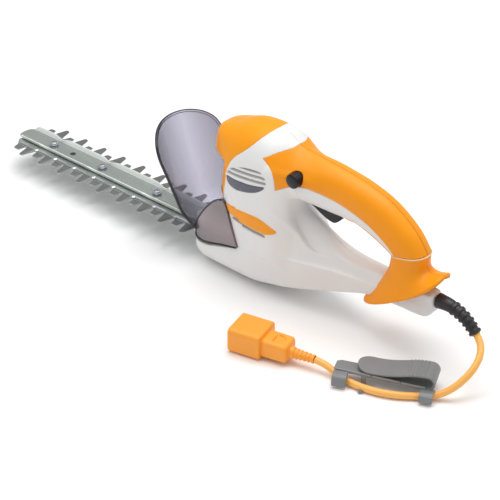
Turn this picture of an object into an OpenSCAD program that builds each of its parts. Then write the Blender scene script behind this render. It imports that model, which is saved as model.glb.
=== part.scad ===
// Electric hedge trimmer with a rear loop handle, a smoked hand guard and a short plug lead.
// Millimetres. +Z up, the cutter bar points along -X, the user's left side is -Y.
// The origin is on the floor, below the crank axis, at the middle of the flat base.

/* [Body] */
// Greatest width of the motor housing
body_w = 80; // [76:1:84]
// Height of the top of the motor housing
body_h = 180; // [176:1:190]
// Thickness of the moulded walls
wall = 2.4; // [2:0.1:2.6]

/* [Handle] */
// Width of the hand grip
grip_w = 35; // [33:1:37]
// Diameter of the lock-off button
button_d = 15; // [13:0.5:16]
// Travel of the lock-off button
button_travel = 3; // [2:0.5:3.5]

/* [Cutter] */
// Distance between two long teeth
tooth_pitch = 32; // [31:0.5:33]
// Long teeth on each side of the upper blade
long_teeth = 9; // [7:1:9]
// Distance from the centre line to a long tooth's tip
long_reach = 38; // [35:1:40]
// Distance from the centre line to a short tooth's tip
short_reach = 30; // [28:1:32]
// Thickness of each blade
blade_t = 2; // [1.6:0.1:2]
// Width of the guide bar
bar_w = 26; // [24:1:28]
// Travel of each blade to either side of its middle place
throw = 4; // [3:0.5:4]

/* [Drive] */
// Teeth of the motor pinion
pinion_teeth = 10; // [10:1:10]
// Teeth of the crank gear
gear_teeth = 50; // [50:1:50]
// Diameter of the motor's field core
core_d = 64; // [58:1:66]

/* [Cord] */
// Diameter of the cord
cord_d = 7; // [6:0.5:7.5]

/* [Hidden] */
$fn = 48;

gap = 0.3;                 // clearance between neighbouring shells
gear_mod = 1;              // gear module
motor_x = gear_mod*(pinion_teeth + gear_teeth)/2;
blade_z = 30;              // plane where the two blades meet
blade_gap = 0.1;           // each blade's clearance from that plane
bar_z = 32.4;              // underside of the guide bar
bar_t = 1.6;               // thickness of the guide bar's sheet
bar_h = 6;                 // height of its flanges
bar_front = -351;
bar_rear = -33;
first_tooth = -60;         // place of the rearmost long tooth
short_shift = 17;          // place of the short teeth after the long ones, towards the tip
screw_x = [-299, -218, -131, -40];
blade_tail = 25;           // rear end of both blades
tail_w = 40;               // width of the blades' tails
disc_r = 11;               // radius of the crank's two eccentric discs
pin_r = 4;                 // radius of the fixed crank pin
run = 0.05;                // radial running clearance
shaft_r = 4;

// ---- curves through stations -------------------------------------------------------------
// Row of a table that holds x, the table's first column being its stations.
function row_of(t, x, i=0) = (i >= len(t) - 2 || x < t[i+1][0]) ? i : row_of(t, x, i + 1);
function slope(t, i, k) = let (a = max(i - 1, 0), b = min(i + 1, len(t) - 1))
    (t[b][k] - t[a][k])/(t[b][0] - t[a][0]);
// Smooth value of column k at station x.
function at(t, x, k) = let (i = row_of(t, x), h = t[i+1][0] - t[i][0], u = (x - t[i][0])/h)
    (2*u*u*u - 3*u*u + 1)*t[i][k] + (u*u*u - 2*u*u + u)*h*slope(t, i, k)
    + (3*u*u - 2*u*u*u)*t[i+1][k] + (u*u*u - u*u)*h*slope(t, i + 1, k);
function mix(a, b, s) = a + (b - a)*s;
function signed_pow(v, p) = sign(v)*pow(abs(v), p);
function flip_y(points) = [for (p = points) [p[0], -p[1], p[2]]];
function back_to_front(list) = [for (i = [len(list) - 1 : -1 : 0]) list[i]];
function flat(lists) = [for (l = lists) for (p = l) p];

// Shell swept through rings. Each ring holds n outer points and then n inner ones backwards.
module shell(rings) {
    n2 = len(rings[0]);
    n = n2/2;
    last = (len(rings) - 1)*n2;
    sides = [for (r = [0 : len(rings) - 2]) for (i = [0 : n2 - 1])
        let (a = r*n2 + i, b = r*n2 + (i + 1) % n2) each [[a, b, b + n2], [a, b + n2, a + n2]]];
    caps = [for (i = [0 : n - 2]) let (j = n2 - 1 - i)
        each [[i, j, i + 1], [i + 1, j, j - 1], [last + i, last + i + 1, last + j],
              [last + i + 1, last + j - 1, last + j]]];
    polyhedron(flat(rings), concat(sides, caps), convexity = 6);
}
// Solid swept through closed rings, with a fan of triangles at each end.
module loft(rings) {
    n = len(rings[0]);
    last = (len(rings) - 1)*n;
    sides = [for (r = [0 : len(rings) - 2]) for (i = [0 : n - 1])
        let (a = r*n + i, b = r*n + (i + 1) % n) each [[a, b, b + n], [a, b + n, a + n]]];
    caps = [for (i = [1 : n - 2]) each [[0, i + 1, i], [last, last + i, last + i + 1]]];
    polyhedron(flat(rings), concat(sides, caps), convexity = 6);
}
module both_sides() {
    children();
    mirror([0, 1, 0]) children();
}

// ---- white lower housing -----------------------------------------------------------------
// Stations of the housing: x, underside, height of the side's edge, half width.
base_line = [[-50, 14, 24, 20], [-46, 5, 26, 28], [-34, 0, 28, 34], [-10, 0, 35, 37],
    [20, 0, 43, 38], [38, 0, 48, 38], [54, 4, 52, 36.5], [78, 13, 56, 33], [110, 24, 57, 27],
    [140, 33, 58, 21], [172, 42, 57, 15], [205, 42, 56, 12], [236, 43, 56, 10], [246, 50, 58, 8]];
// Stations of the ridge behind the motor: x, height of its top.
ridge_line = [[78, 97], [101, 97], [126, 90], [149, 80], [170, 63], [186, 58], [205, 62], [246, 70]];
corner_r = 7;
tub_end = 78;
lead_window = [222, -6, 60];  // where the two leads rise from the housing into the handle

function base_side(x, inset) = let (zb = max(at(base_line, x, 1), 0) + inset, w = at(base_line, x, 3) - inset,
        e = at(base_line, x, 2), r = min(corner_r, (e - zb)/2, w/2))
    concat([[x, 0, zb]], [for (a = [-90 : 22.5 : 0]) [x, -(w - r + r*cos(a)), zb + r + r*sin(a)]],
        [[x, -w, e]]);
function ridge_side(x, inset) = let (w = at(base_line, x, 3) - inset, e = at(base_line, x, 2),
        top = at(ridge_line, x, 1) - inset, r = min(8, w/2))
    concat(base_side(x, inset), [for (a = [10 : 20 : 90]) [x, -r*cos(a), top - r + r*sin(a)]]);
function tub_ring(x) = concat(base_side(x, 0), back_to_front(base_side(x, wall)));
function ridge_ring(x) = concat(ridge_side(x, 0), back_to_front(ridge_side(x, wall)));

module housing_half() {
    shell([for (x = [-50, -48, -46, -43, -40, -34, -26, -16, -4, 10, 24, 38, 52, 66, tub_end])
        tub_ring(x)]);
    difference() {
        shell([for (x = [tub_end, 90, 102, 114, 126, 138, 150, 162, 172, 184, 196, 210, 224, 236, 246])
            ridge_ring(x)]);
        translate(lead_window) cube([20, 8, 14]);
    }
    for (x = [-25, 35]) translate([x, -14, 1]) cylinder(r = 4, h = 19);
}
module housing_left() { color("gainsboro") housing_half(); }
module housing_right() { color("gainsboro") mirror([0, 1, 0]) housing_half(); }

// ---- motor housing: white side covers and the orange cap ---------------------------------
// Stations of the upper housing: x, half width as a share of the greatest, top, waist.
dome_line = [[-28, 0.10, 112, 100], [-26, 0.30, 124, 102], [-20, 0.52, 145, 105],
    [-10, 0.73, 159, 105], [5, 0.89, 170, 105], [20, 0.97, 176, 105], [35, 1, 179, 105],
    [50, 0.98, 180, 108], [65, 0.91, 178, 112], [79, 0.80, 173, 116]];
// Share of the way from the cover's foot to the crown where the orange cap begins.
cap_edge = [[-28, 0.40], [-4, 0.42], [0, 0.46], [4, 0.60], [9, 0.655], [19, 0.73], [30, 0.80],
    [41, 0.87], [52, 0.94], [60, 0.985]];
// Foot of the side cover: above the gear case at the front, on the housing's edge behind.
cover_foot = [[-28, 58], [-4, 58], [6, 52], [16, 45], [24, 46], [50, 51], [79, 56]];
side_lean = 2.5;           // how far the cover's foot stands inside its waist

function dome_at(x, s, inset) = let (w = at(dome_line, x, 1)*body_w/2 - inset,
        top = at(dome_line, x, 2) + body_h - 180 - inset, waist = at(dome_line, x, 3),
        foot = at(cover_foot, x, 1) + 0.5)
    s < 0.5 ? [x, -(max(w - side_lean*(1 - 2*s), 0.4)), mix(foot, waist, 2*s)]
    : let (a = (s - 0.5)*180) [x, -w*pow(max(cos(a), 0), 0.87), waist + (top - waist)*pow(sin(a), 0.87)];
function dome_arc(x, s0, s1, n, inset) = [for (i = [0 : n]) dome_at(x, mix(s0, s1, i/n), inset)];
function cover_ring(x, s1) = concat(dome_arc(x, 0, s1, 18, 0), back_to_front(dome_arc(x, 0, s1, 18, wall)));
function cap_arc(x, s0, inset) = let (left = dome_arc(x, s0, 0.999, 10, inset))
    concat(left, back_to_front(flip_y(left)));
function cap_ring(x, s0) = concat(cap_arc(x, s0, 0), back_to_front(cap_arc(x, s0, wall)));
function cap_start(x) = x > 60 ? 1 : at(cap_edge, x, 1);

module cover_half() {
    difference() {
        shell([for (x = [-28, -26, -23, -18, -12, -6, 0, 2, 5, 9, 14, 20, 27, 35, 43, 51, 60, 64, 72, 78.7])
            cover_ring(x, min(cap_start(x), 1))]);
        for (i = [0 : 2]) translate([37 + 2*i, -body_w/2, 134 + 5*i]) rotate([0, -4, 0])
            cube([44 - 8*i, 14, 2.6], center = true);
    }
}
module motor_cover_left() { color("whitesmoke") cover_half(); }
module motor_cover_right() { color("whitesmoke") mirror([0, 1, 0]) cover_half(); }
module front_cap() {
    color("orange") shell([for (x = [-28, -26, -23, -18, -12, -6, 0, 2, 5, 9, 14, 20, 27, 35, 43, 51, 59.4])
        cap_ring(x, cap_start(x) + 0.006)]);
}
// Thin strip that stands on the side cover between two heights.
function skin_ring(x, low, high, lift, t) = let (y = at(dome_line, x, 1)*body_w/2 + lift)
    concat([for (i = [0 : 3]) [x, -(y + t), mix(low, high, i/3)]],
        [for (i = [3 : -1 : 0]) [x, -y, mix(low, high, i/3)]]);
// Leaf-shaped trim: x, lower edge, upper edge.
leaf_line = [[6, 88, 92], [12, 84, 93], [22, 82, 94], [36, 80.5, 94.5], [50, 78.5, 95], [60, 77.5, 92],
    [68, 80, 88], [73, 83.5, 84.5]];
module trim_half() {
    shell([for (x = [6, 12, 18, 26, 36, 46, 54, 60, 66, 70, 73])
        skin_ring(x, at(leaf_line, x, 1), at(leaf_line, x, 2), 0.1, 1.4)]);
}
module trim_left() { color("orange") trim_half(); }
module trim_right() { color("orange") mirror([0, 1, 0]) trim_half(); }
// Badge plate in the lower part of the vent field: x, lower edge, upper edge.
badge_line = [[9, 121, 126], [14, 117, 127.2], [26, 117, 128], [40, 119, 129], [52, 124, 130], [59, 128, 130.5]];
module badge_half() {
    shell([for (x = [9, 14, 20, 28, 36, 44, 52, 59])
        skin_ring(x, at(badge_line, x, 1), at(badge_line, x, 2), 0.1, 0.8)]);
}
module vent_badge_left() { color("dimgray") badge_half(); }
module vent_badge_right() { color("dimgray") mirror([0, 1, 0]) badge_half(); }

// ---- loop handle -------------------------------------------------------------------------
// Stations of the handle: step, x, z, half height, half width.
handle_line = [[0, 79.3, 143, 29, 31], [1, 98, 140.5, 27, 24], [2, 122, 138, 25.3, 18.8],
    [3, 150, 136, 23, 17.5], [4, 178, 127.5, 22.5, 17], [5, 203, 113, 20, 16.5], [6, 218, 97, 17, 16]];
liner_angle = -10;         // where the grip ends and the liner begins
trigger_slot = [87.4, 133.4];

function handle_dir(u) = u < 0.02 ? [1, 0] : let (a = max(u - 0.05, 0), b = min(u + 0.05, 6),
        dx = at(handle_line, b, 1) - at(handle_line, a, 1),
        dz = at(handle_line, b, 2) - at(handle_line, a, 2)) [dx, dz]/norm([dx, dz]);
// Point of the handle's skin: angle 90 is the top, 0 the left side, -90 the underside.
function handle_at(u, a, inset) = let (d = handle_dir(u), h = at(handle_line, u, 3) - inset,
        w = (at(handle_line, u, 4) + (grip_w - 35)/2) - inset, v = h*signed_pow(sin(a), 0.85),
        side = w*signed_pow(cos(a), 0.85))
    [at(handle_line, u, 1) - d[1]*v, -side, at(handle_line, u, 2) + d[0]*v];
function handle_arc(u, a0, a1, n, inset) = [for (i = [0 : n]) handle_at(u, mix(a0, a1, i/n), inset)];
function handle_ring(u, a0, a1, n) =
    concat(handle_arc(u, a0, a1, n, 0), back_to_front(handle_arc(u, a0, a1, n, wall)));
handle_steps = [for (i = [0 : 18]) i/3];

module grip_half() { shell([for (u = handle_steps) handle_ring(u, liner_angle, 90, 12)]); }
module grip_left() {
    color("orange") difference() {
        grip_half();
        translate([88, -10, 146]) rotate([90, 0, 0]) cylinder(d = button_d + 1, h = 30);
    }
}
module grip_right() { color("orange") mirror([0, 1, 0]) grip_half(); }
module handle_liner() {
    color("gainsboro") difference() {
        shell([for (u = handle_steps) handle_ring(u, -180 - liner_angle + 0.6, liner_angle - 0.6, 16)]);
        translate([trigger_slot[0], -7, 100]) cube([trigger_slot[1] - trigger_slot[0], 14, 26]);
    }
}

// ---- orange rear foot --------------------------------------------------------------------
foot_centre = [216, 69.5];   // middle of the hem, x and z
foot_half = [49, 24];        // half length and half width of the hem
foot_tilt = 31;              // slope of the hem
foot_flare = 1.8;

function collar_at(a, inset) = let (p = handle_at(6, a, inset)) p;
function hem_at(a, inset) = let (v = (foot_half[0] - inset)*signed_pow(sin(a), 0.95),
        side = (foot_half[1] - inset)*signed_pow(cos(a), 0.6))
    [foot_centre[0] + v*cos(foot_tilt), -side, foot_centre[1] + v*sin(foot_tilt)];
function foot_at(s, a, inset) = let (c = collar_at(a, inset), h = hem_at(a, inset), f = pow(s, foot_flare),
        mid = [mix(218, foot_centre[0], s), 0, mix(97, foot_centre[1], s)])
    mid + (c - [218, 0, 97])*(1 - f) + (h - [foot_centre[0], 0, foot_centre[1]])*f;
function foot_ring(s) = concat([for (i = [0 : 16]) foot_at(s, -90 + 180*i/16, 0)],
    [for (i = [16 : -1 : 0]) foot_at(s, -90 + 180*i/16, wall)]);
module foot_half_shell() {
    difference() {
        shell([for (s = [0.03, 0.15, 0.3, 0.45, 0.6, 0.75, 0.88, 1]) foot_ring(s)]);
        loft([for (x = [150, 165, 180, 195, 210, 225, 240, 247]) let (o = ridge_side(x, -0.3))
            concat([for (p = o) [p[0], p[1] , p[2]]], [[x, 5, at(ridge_line, x, 1) + 0.3],
                [x, 5, at(base_line, x, 1) - 0.3]])]);
    }
}
module rear_foot_left() { color("darkorange") foot_half_shell(); }
module rear_foot_right() { color("darkorange") mirror([0, 1, 0]) foot_half_shell(); }

// ---- smoked hand guard with its two cheeks -----------------------------------------------
guard_t = 2.2;
guard_foot = -64;          // place of the sheet on the blade plane
guard_rake = 0.37;         // how far it leans forward for each millimetre of height
guard_curve = 0.008;       // how it sweeps back towards its sides
// Half outline of the sheet: distance from the middle, lower edge, upper edge.
guard_line = [[0, 45, 142.5], [10, 45, 142], [17, 41, 140.5], [26, 34, 137.5], [30, 42, 136],
    [34, 64, 134], [38, 80, 132], [42, 97, 129], [46, 108, 125], [49, 117, 120]];
// Cheek beside the cutter's root: x, lower edge, upper edge, distance from the middle.
cheek_line = [[-47, 30, 40, 27.5], [-42, 29.5, 49, 31], [-34, 30, 60, 34.2], [-24, 33, 73, 36.8],
    [-11, 37, 87, 38.6], [1, 41, 95, 39.2], [8, 42.5, 88, 39.6], [12, 43.5, 78, 39.8], [23, 46, 48, 40.4]];

function guard_at(y, z, back) = let (low = max(0, 45 - z)/12)
    [guard_foot - guard_rake*(z - blade_z) + guard_curve*y*y + 10*low*low + back, y, z];
function guard_ring(y) = let (low = at(guard_line, abs(y), 1), high = at(guard_line, abs(y), 2))
    concat([for (i = [0 : 12]) guard_at(y, mix(low, high, i/12), 0)],
        [for (i = [12 : -1 : 0]) guard_at(y, mix(low, high, i/12), guard_t)]);
function cheek_ring(x) = let (low = at(cheek_line, x, 1), high = at(cheek_line, x, 2), y = at(cheek_line, x, 3))
    concat([for (i = [0 : 5]) [x, -y, mix(low, high, i/5)]],
        [for (i = [5 : -1 : 0]) [x, -(y - 2), mix(low, high, i/5)]]);
module hand_guard() {
    color([0.6, 0.58, 0.62, 0.5]) {
        shell([for (y = [49, 47.5, 45, 42, 38, 34, 31.5, 29, 26, 22, 17, 10, 4, -4, -10, -17, -22,
            -26, -29, -31.5, -34, -38, -42, -45, -47.5, -49]) guard_ring(y)]);
        both_sides() difference() {
            shell([for (x = [-47, -45, -42, -38, -34, -29, -24, -17, -11, -5, 1, 5, 8, 10, 12, 17, 23])
                cheek_ring(x)]);
            guard_screw_place() {
                translate([0, 0, -6]) cylinder(d = 3.4, h = 8);
                cylinder(d = 7.6, h = 4);
            }
        }
        both_sides() translate([-49.5, -28.4, 31]) cube([4.5, 3.6, 8]);
    }
}
module guard_screw_place() { translate([-33, -34.8, 46]) rotate([90, 0, 0]) children(); }
module guard_screws() {
    color("silver") both_sides() guard_screw_place() {
        cylinder(d = 7, h = 2);
        translate([0, 0, -12]) cylinder(d = 3.2, h = 12.5);
    }
}

// ---- gear case, base plate and fixed crank pin -------------------------------------------
case_r = 29.5;
case_z = [25, 56];
plate_z = [20, 23.4];

module base_plate() {
    color("silver") difference() {
        translate([-43, -19, plate_z[0]]) cube([92, 38, plate_z[1] - plate_z[0]]);
        translate([0, 0, plate_z[0] - 1]) cylinder(r = pin_r, h = 6);
    }
}
module case_outline() {
    circle(r = case_r);
    translate([motor_x, 0]) circle(r = 20);
    translate([-46, -25]) square([46, 50]);
    translate([0, -20]) square([motor_x, 40]);
}
module gear_case() {
    color("darkgray") difference() {
        translate([0, 0, case_z[0]]) linear_extrude(case_z[1] - case_z[0]) case_outline();
        translate([0, 0, case_z[0] - 1]) cylinder(r = 27.3, h = 22);
        translate([-47, -tail_w/2 - 0.6, case_z[0] - 1]) cube([60, tail_w + 1.2, 15.6]);
        translate([-1, -tail_w/2 - 0.6, case_z[0] - 1]) cube([32, tail_w + 1.2, 9]);
        translate([motor_x, 0, case_z[0] - 1]) cylinder(r = 8, h = 22);
        translate([motor_x, 0, 40]) cylinder(r = 5.5, h = 20);
        translate([motor_x, 0, 49]) cylinder(r = 11, h = 8);
        translate([0, 0, 44]) cylinder(r = pin_r, h = 8);
        both_sides() guard_screw_place() translate([0, 0, -12.5]) cylinder(d = 3.4, h = 12);
    }
}
module crank_pin() {
    color("silver") translate([0, 0, plate_z[0]]) cylinder(r = pin_r, h = 52 - plate_z[0]);
}

// ---- guide bar and its fasteners ---------------------------------------------------------
tip_r = bar_w/2;
module bar_plan(edge) {
    difference() {
        union() {
            translate([bar_front + tip_r, 0]) circle(r = tip_r - edge);
            translate([bar_front + tip_r, -tip_r + edge])
                square([bar_rear - bar_front - tip_r, bar_w - 2*edge]);
        }
        for (x = screw_x) translate([x, 0]) circle(d = 5.2);
        translate([-260, 0]) circle(d = 7);
    }
}
module guide_bar() {
    color("lightgray") {
        translate([0, 0, bar_z]) linear_extrude(bar_t) bar_plan(0);
        both_sides() translate([bar_front + tip_r - 3, -tip_r, bar_z])
            cube([bar_rear - bar_front - tip_r + 3, bar_t, bar_h]);
    }
}
module bar_screws() {
    color("silver") for (x = screw_x) translate([x, 0, 0]) difference() {
        union() {
            translate([0, 0, 23.8]) cylinder(d = 4.9, h = bar_z + bar_t - 23.7);
            translate([0, 0, bar_z + bar_t]) cylinder(d = 9, h = 2.6);
        }
        for (a = [0, 90]) rotate(a) translate([-2.6, -0.5, bar_z + bar_t + 1.2]) cube([5.2, 1, 3]);
    }
}
module bar_spacers() {
    color("silver") for (x = screw_x) translate([x, 0, 27.6]) difference() {
        cylinder(d = 8, h = bar_z - 27.6);
        translate([0, 0, -1]) cylinder(d = 5, h = 8);
    }
}
module bar_nuts() {
    color("silver") for (x = screw_x) translate([x, 0, 0]) difference() {
        union() {
            translate([0, 0, 26.5]) cylinder(d = 13, h = 1.1);
            translate([0, 0, 23.8]) cylinder(d = 9, h = 2.7, $fn = 6);
        }
        translate([0, 0, 20]) cylinder(d = 5, h = 10);
    }
}

// ---- cutting blades ----------------------------------------------------------------------
slot_w = 8.6;
window = [disc_r + 2*throw + 0.5, disc_r + throw + 0.5];   // half sizes of the crank window
root_y = 16;                                               // half width of a blade's strip

// Outline of one tooth from its rear root to its front root, as offsets from its middle.
tip_round = 2.6;
long_tooth = concat([[8, root_y], [4.8, 22]],
    [for (a = [0 : 22.5 : 180]) [tip_round*cos(a), long_reach - tip_round + tip_round*sin(a)]],
    [[-4.8, 22], [-8, root_y]]);
short_tooth = [[7.5, root_y], [5, 20], [2.6, short_reach], [-2.6, short_reach], [-5, 20], [-7.5, root_y]];
// One long edge of a blade, from its tail to its tip.
function blade_edge(tooth, start, front) = concat([[blade_tail, tail_w/2], [-49, tail_w/2], [-49, root_y]],
    [for (i = [0 : long_teeth - 1]) for (p = tooth) [start - i*tooth_pitch + p[0], p[1]]],
    [[front + 5, root_y], [front, root_y - 6]]);
module blade(tooth, start, front) {
    edge = blade_edge(tooth, start, front);
    linear_extrude(blade_t) difference() {
        polygon(concat(edge, [for (p = back_to_front(edge)) [p[0], -p[1]]]));
        for (x = screw_x) {
            translate([x - throw - 0.5, -slot_w/2]) square([2*throw + 1, slot_w]);
            for (side = [-1, 1]) translate([x + side*(throw + 0.5), 0]) circle(d = slot_w);
        }
        translate([-window[0], -window[1]]) square([2*window[0], 2*window[1]]);
    }
}
module upper_blade() {
    color("slategray") translate([0, 0, blade_z + blade_gap]) blade(long_tooth, first_tooth, -344);
}
module lower_blade() {
    color("slategray") translate([0, 0, blade_z - blade_gap - blade_t])
        blade(short_tooth, first_tooth - short_shift, -347);
}

// ---- crank gear and motor ----------------------------------------------------------------
// Outline of a spur gear with straight flanks. Phase 0 puts a tooth on the +X axis.
tooth_side = [[-1.2, -0.30], [-0.1, -0.21], [0.8, -0.09], [0.8, 0.09], [-0.1, 0.21], [-1.2, 0.30]];
module spur(teeth, phase) {
    step = 360/teeth;
    polygon([for (i = [0 : teeth - 1]) for (p = tooth_side)
        let (r = gear_mod*(teeth/2 + p[0]), a = step*(i + phase + p[1])) [r*cos(a), r*sin(a)]]);
}
gear_z = [36, 43];
module crank_gear() {
    color("silver") difference() {
        union() {
            translate([0, 0, gear_z[0]]) linear_extrude(gear_z[1] - gear_z[0]) spur(gear_teeth, 0.5);
            translate([0, 0, 24]) cylinder(r = 6.6, h = gear_z[0] - 24);
            translate([0, throw, blade_z + 0.2]) cylinder(r = disc_r, h = 2.4);
            translate([0, -throw, blade_z - 2.6]) cylinder(r = disc_r, h = 2.4);
        }
        translate([0, 0, 20]) cylinder(r = pin_r + run, h = 30);
        for (a = [0 : 60 : 300]) rotate(a) translate([16.5, 0, 30]) cylinder(r = 4, h = 20);
    }
}
module pinion() {
    color("silver") translate([motor_x, 0, 35]) difference() {
        linear_extrude(9) spur(pinion_teeth, 0);
        translate([0, 0, -1]) cylinder(r = 2.5, h = 12);
    }
}
module at_motor(z) { translate([motor_x, 0, z]) children(); }
core_z = [78, 122];
bore_r = 20.8;
module armature() {
    color("slategray") {
        at_motor(35) cylinder(r = 2.5, h = 12);
        at_motor(47) cylinder(r = shaft_r, h = 88);
        at_motor(135) cylinder(r = 3, h = 20);
        at_motor(core_z[0]) cylinder(r = bore_r - 0.8, h = core_z[1] - core_z[0]);
        at_motor(71) cylinder(r = 16, h = 58);
    }
}
module commutator() {
    color("peru") at_motor(129.2) difference() {
        cylinder(r = 11, h = 12);
        translate([0, 0, -1]) cylinder(r = shaft_r, h = 6.8);
        translate([0, 0, 5.8]) cylinder(r = 3, h = 10);
        for (a = [0 : 20 : 340]) rotate(a) translate([10.4, -0.4, 2]) cube([2, 0.8, 12]);
    }
}
module fan() {
    color("dimgray") at_motor(58.5) difference() {
        union() {
            cylinder(r = 22, h = 1.6);
            cylinder(r = 7, h = 8);
            for (a = [0 : 30 : 330]) rotate(a) translate([6, -0.8, 0]) cube([15.5, 1.6, 8]);
        }
        translate([0, 0, -1]) cylinder(r = shaft_r, h = 12);
    }
}
module field_core() {
    color("silver") at_motor(core_z[0]) difference() {
        cylinder(d = core_d, h = core_z[1] - core_z[0]);
        translate([0, 0, -1]) cylinder(r = bore_r, h = 60);
        for (a = [45 : 90 : 315]) rotate(a) translate([core_d/2 + 2, 0, -1]) cylinder(r = 5, h = 60);
    }
}
module field_coils() {
    color("peru") for (z = [core_z[0] - 7, core_z[1]]) at_motor(z) difference() {
        cylinder(r = 26, h = 7);
        translate([0, 0, -1]) cylinder(r = bore_r, h = 12);
        for (a = [0, 90]) rotate(a) translate([-40, -3.5, -1]) cube([80, 7, 12]);
    }
}
module motor_frame() {
    color("black") {
        for (side = [-1, 1]) {
            translate([motor_x, side*24.5, case_z[1] - 4]) cylinder(r = 2.2, h = core_z[0] - case_z[1] + 4);
            translate([motor_x + side*28.5, 0, core_z[1]]) cylinder(r = 3, h = 23);
        }
        at_motor(144.5) difference() {
            union() {
                translate([-31.5, -9, 0]) cube([63, 18, 3.5]);
                cylinder(r = 13, h = 10);
            }
            translate([0, 0, 3]) cylinder(r = 9.5, h = 10);
            translate([0, 0, -1]) cylinder(r = 6, h = 12);
        }
    }
}
module ring_bearing(outer_r, inner_r, h) {
    difference() {
        cylinder(r = outer_r, h = h);
        translate([0, 0, -1]) cylinder(r = inner_r, h = h + 2);
    }
}
module bearing_lower() { color("silver") at_motor(49) ring_bearing(11, shaft_r, 7); }
module bearing_upper() { color("silver") at_motor(147.5) ring_bearing(9.5, 3, 6); }
module brush_holders() {
    color("black") both_sides() translate([motor_x, 11.8, 131]) difference() {
        translate([-5, 0, 0]) cube([10, 17, 9]);
        translate([-3.1, -1, 1.5]) cube([6.2, 15, 6]);
    }
}
module carbon_brushes() {
    color("dimgray") both_sides() translate([motor_x - 3, 11.2, 132.5]) cube([6, 10, 6]);
}

// ---- switch, trigger, lock-off button and wires ------------------------------------------
trigger_axis = [92, 119.5];
trigger_w = 12.4;
switch_z = [129.5, 146];
module switch_body() {
    color("black") translate([104, -8, switch_z[0]]) cube([34, 16, switch_z[1] - switch_z[0]]);
}
module capacitor() { color("goldenrod") translate([150, -7, 128]) cube([18, 14, 9]); }
// Routes of the two wires on the left side: from the gland to the switch, and on to the brushes.
supply_lead = [[238, -3, 62], [230, -3, 72], [222, -4, 88], [208, -4, 106], [186, -4, 125], [162, -4, 141],
    [138.5, -4, 141]];
motor_lead = [[103.5, -4, 140], [97, -4, 147], [88, -6, 155], [76, -12, 156], [56, -18, 152], [44, -20, 144], [37, -20, 137]];
module inner_leads() {
    color("saddlebrown") both_sides() {
        tube(supply_lead, 1.1, 18, 8);
        tube(motor_lead, 1.1, 15, 8);
    }
}
module trigger() {
    color("black") difference() {
        translate([0, trigger_w/2, 0]) rotate([90, 0, 0]) linear_extrude(trigger_w) {
            translate(trigger_axis) circle(r = 4);
            polygon([[95, 114.2], [108, 110], [122.5, 105], [131, 110], [131.5, 117.5], [100, 122], [92, 123.5]]);
        }
        translate([trigger_axis[0], 0, trigger_axis[1]]) rotate([90, 0, 0])
            cylinder(r = 2 + run, h = 30, center = true);
        translate([119, 0, 115]) cylinder(r = 3.6, h = 10);
    }
}
module trigger_pin() {
    color("silver") translate([trigger_axis[0], 0, trigger_axis[1]]) rotate([90, 0, 0])
        cylinder(r = 2, h = 16, center = true);
}
module spring_tube(outer_r, wire_r, turns, h) {
    for (i = [0 : turns - 1]) translate([0, 0, wire_r + i*(h - 2*wire_r)/(turns - 1)])
        rotate_extrude() translate([outer_r - wire_r, 0]) circle(r = wire_r, $fn = 16);
    difference() {
        cylinder(r = outer_r - wire_r + 0.2, h = h);
        translate([0, 0, -1]) cylinder(r = outer_r - wire_r - 0.2, h = h + 2);
    }
}
module trigger_spring() { color("silver") translate([119, 0, 115]) spring_tube(3, 0.4, 7, switch_z[0] - 115); }
button_place = [88, 146];
button_out = 28.6;         // how far the button's rim stands from the middle
module lock_button() {
    color("black") translate([button_place[0], 0, button_place[1]]) rotate([90, 0, 0]) {
        translate([0, 0, 19]) cylinder(d = button_d, h = button_out - 19);
        translate([0, 0, 12]) cylinder(r = 3, h = 8);
        translate([0, 0, button_out - 4.01]) rotate_extrude() intersection() {
            translate([0, -10]) circle(r = 16, $fn = 64);
            square([button_d/2 - 0.6, 6]);
        }
    }
}
module button_spring() {
    color("silver") translate([button_place[0], -12.5, button_place[1]]) rotate([90, 0, 0])
        spring_tube(5, 0.5, 4, 6.4);
}

// ---- cord, strain relief, plug and cord clip ---------------------------------------------
relief_path = [[247, 0, 63.8], [252, 0, 64], [259, 0, 64], [267, 0, 62.5], [275, -0.5, 60], [282, -1.2, 56.5],
    [288, -2, 52.5], [294, -3, 48]];
cord_route = [[294, -3, 48], [299.5, -5.5, 44.5], [304.5, -10, 40.5], [308, -16, 37], [310, -24, 32.5],
    [309.5, -32, 27], [306.5, -39.5, 20.5], [302, -46, 14], [296, -52, 8.5], [289, -58, 5], [281, -64.5, 3.7],
    [272, -72, 3.6], [262, -79.5, 3.6], [250, -86, 3.6], [237, -90.5, 3.6], [223, -93, 3.7], [210, -94, 4.5],
    [198, -93.5, 6.5], [187, -94, 9.5], [175.8, -96, 11.5]];

// Smooth point of a route: Catmull-Rom between its given points.
function route_at(r, u) = let (n = len(r) - 1, i = min(floor(u), n - 1), f = u - i, a = r[max(i - 1, 0)],
        b = r[i], c = r[i+1], d = r[min(i + 2, n)])
    b + 0.5*f*((c - a) + f*((2*a - 5*b + 4*c - d) + f*(3*(b - c) + d - a)));
function unit(v) = v/norm(v);
function route_dir(r, u) = let (n = len(r) - 1)
    unit(route_at(r, min(u + 0.02, n)) - route_at(r, max(u - 0.02, 0)));
function tube_ring(r, u, rad, sides) = let (c = route_at(r, u), d = route_dir(r, u),
        side = unit(cross(d, [0, 0, 1])), up = cross(side, d))
    [for (i = [0 : sides - 1]) let (a = 360*i/sides) c + rad*(cos(a)*side + sin(a)*up)];
module tube(r, rad, steps, sides) {
    n = len(r) - 1;
    loft([for (k = [0 : steps]) tube_ring(r, n*k/steps, rad, sides)]);
}
relief_rings = 6;          // raised rings on its outer half
function relief_r(s) = s < 0.38 ? mix(8, 6.8, s/0.38)
    : mix(6.9, 5.6, (s - 0.38)/0.62) + (((s - 0.38)*relief_rings/0.62) % 1 < 0.5 ? 0.6 : -0.7);
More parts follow.
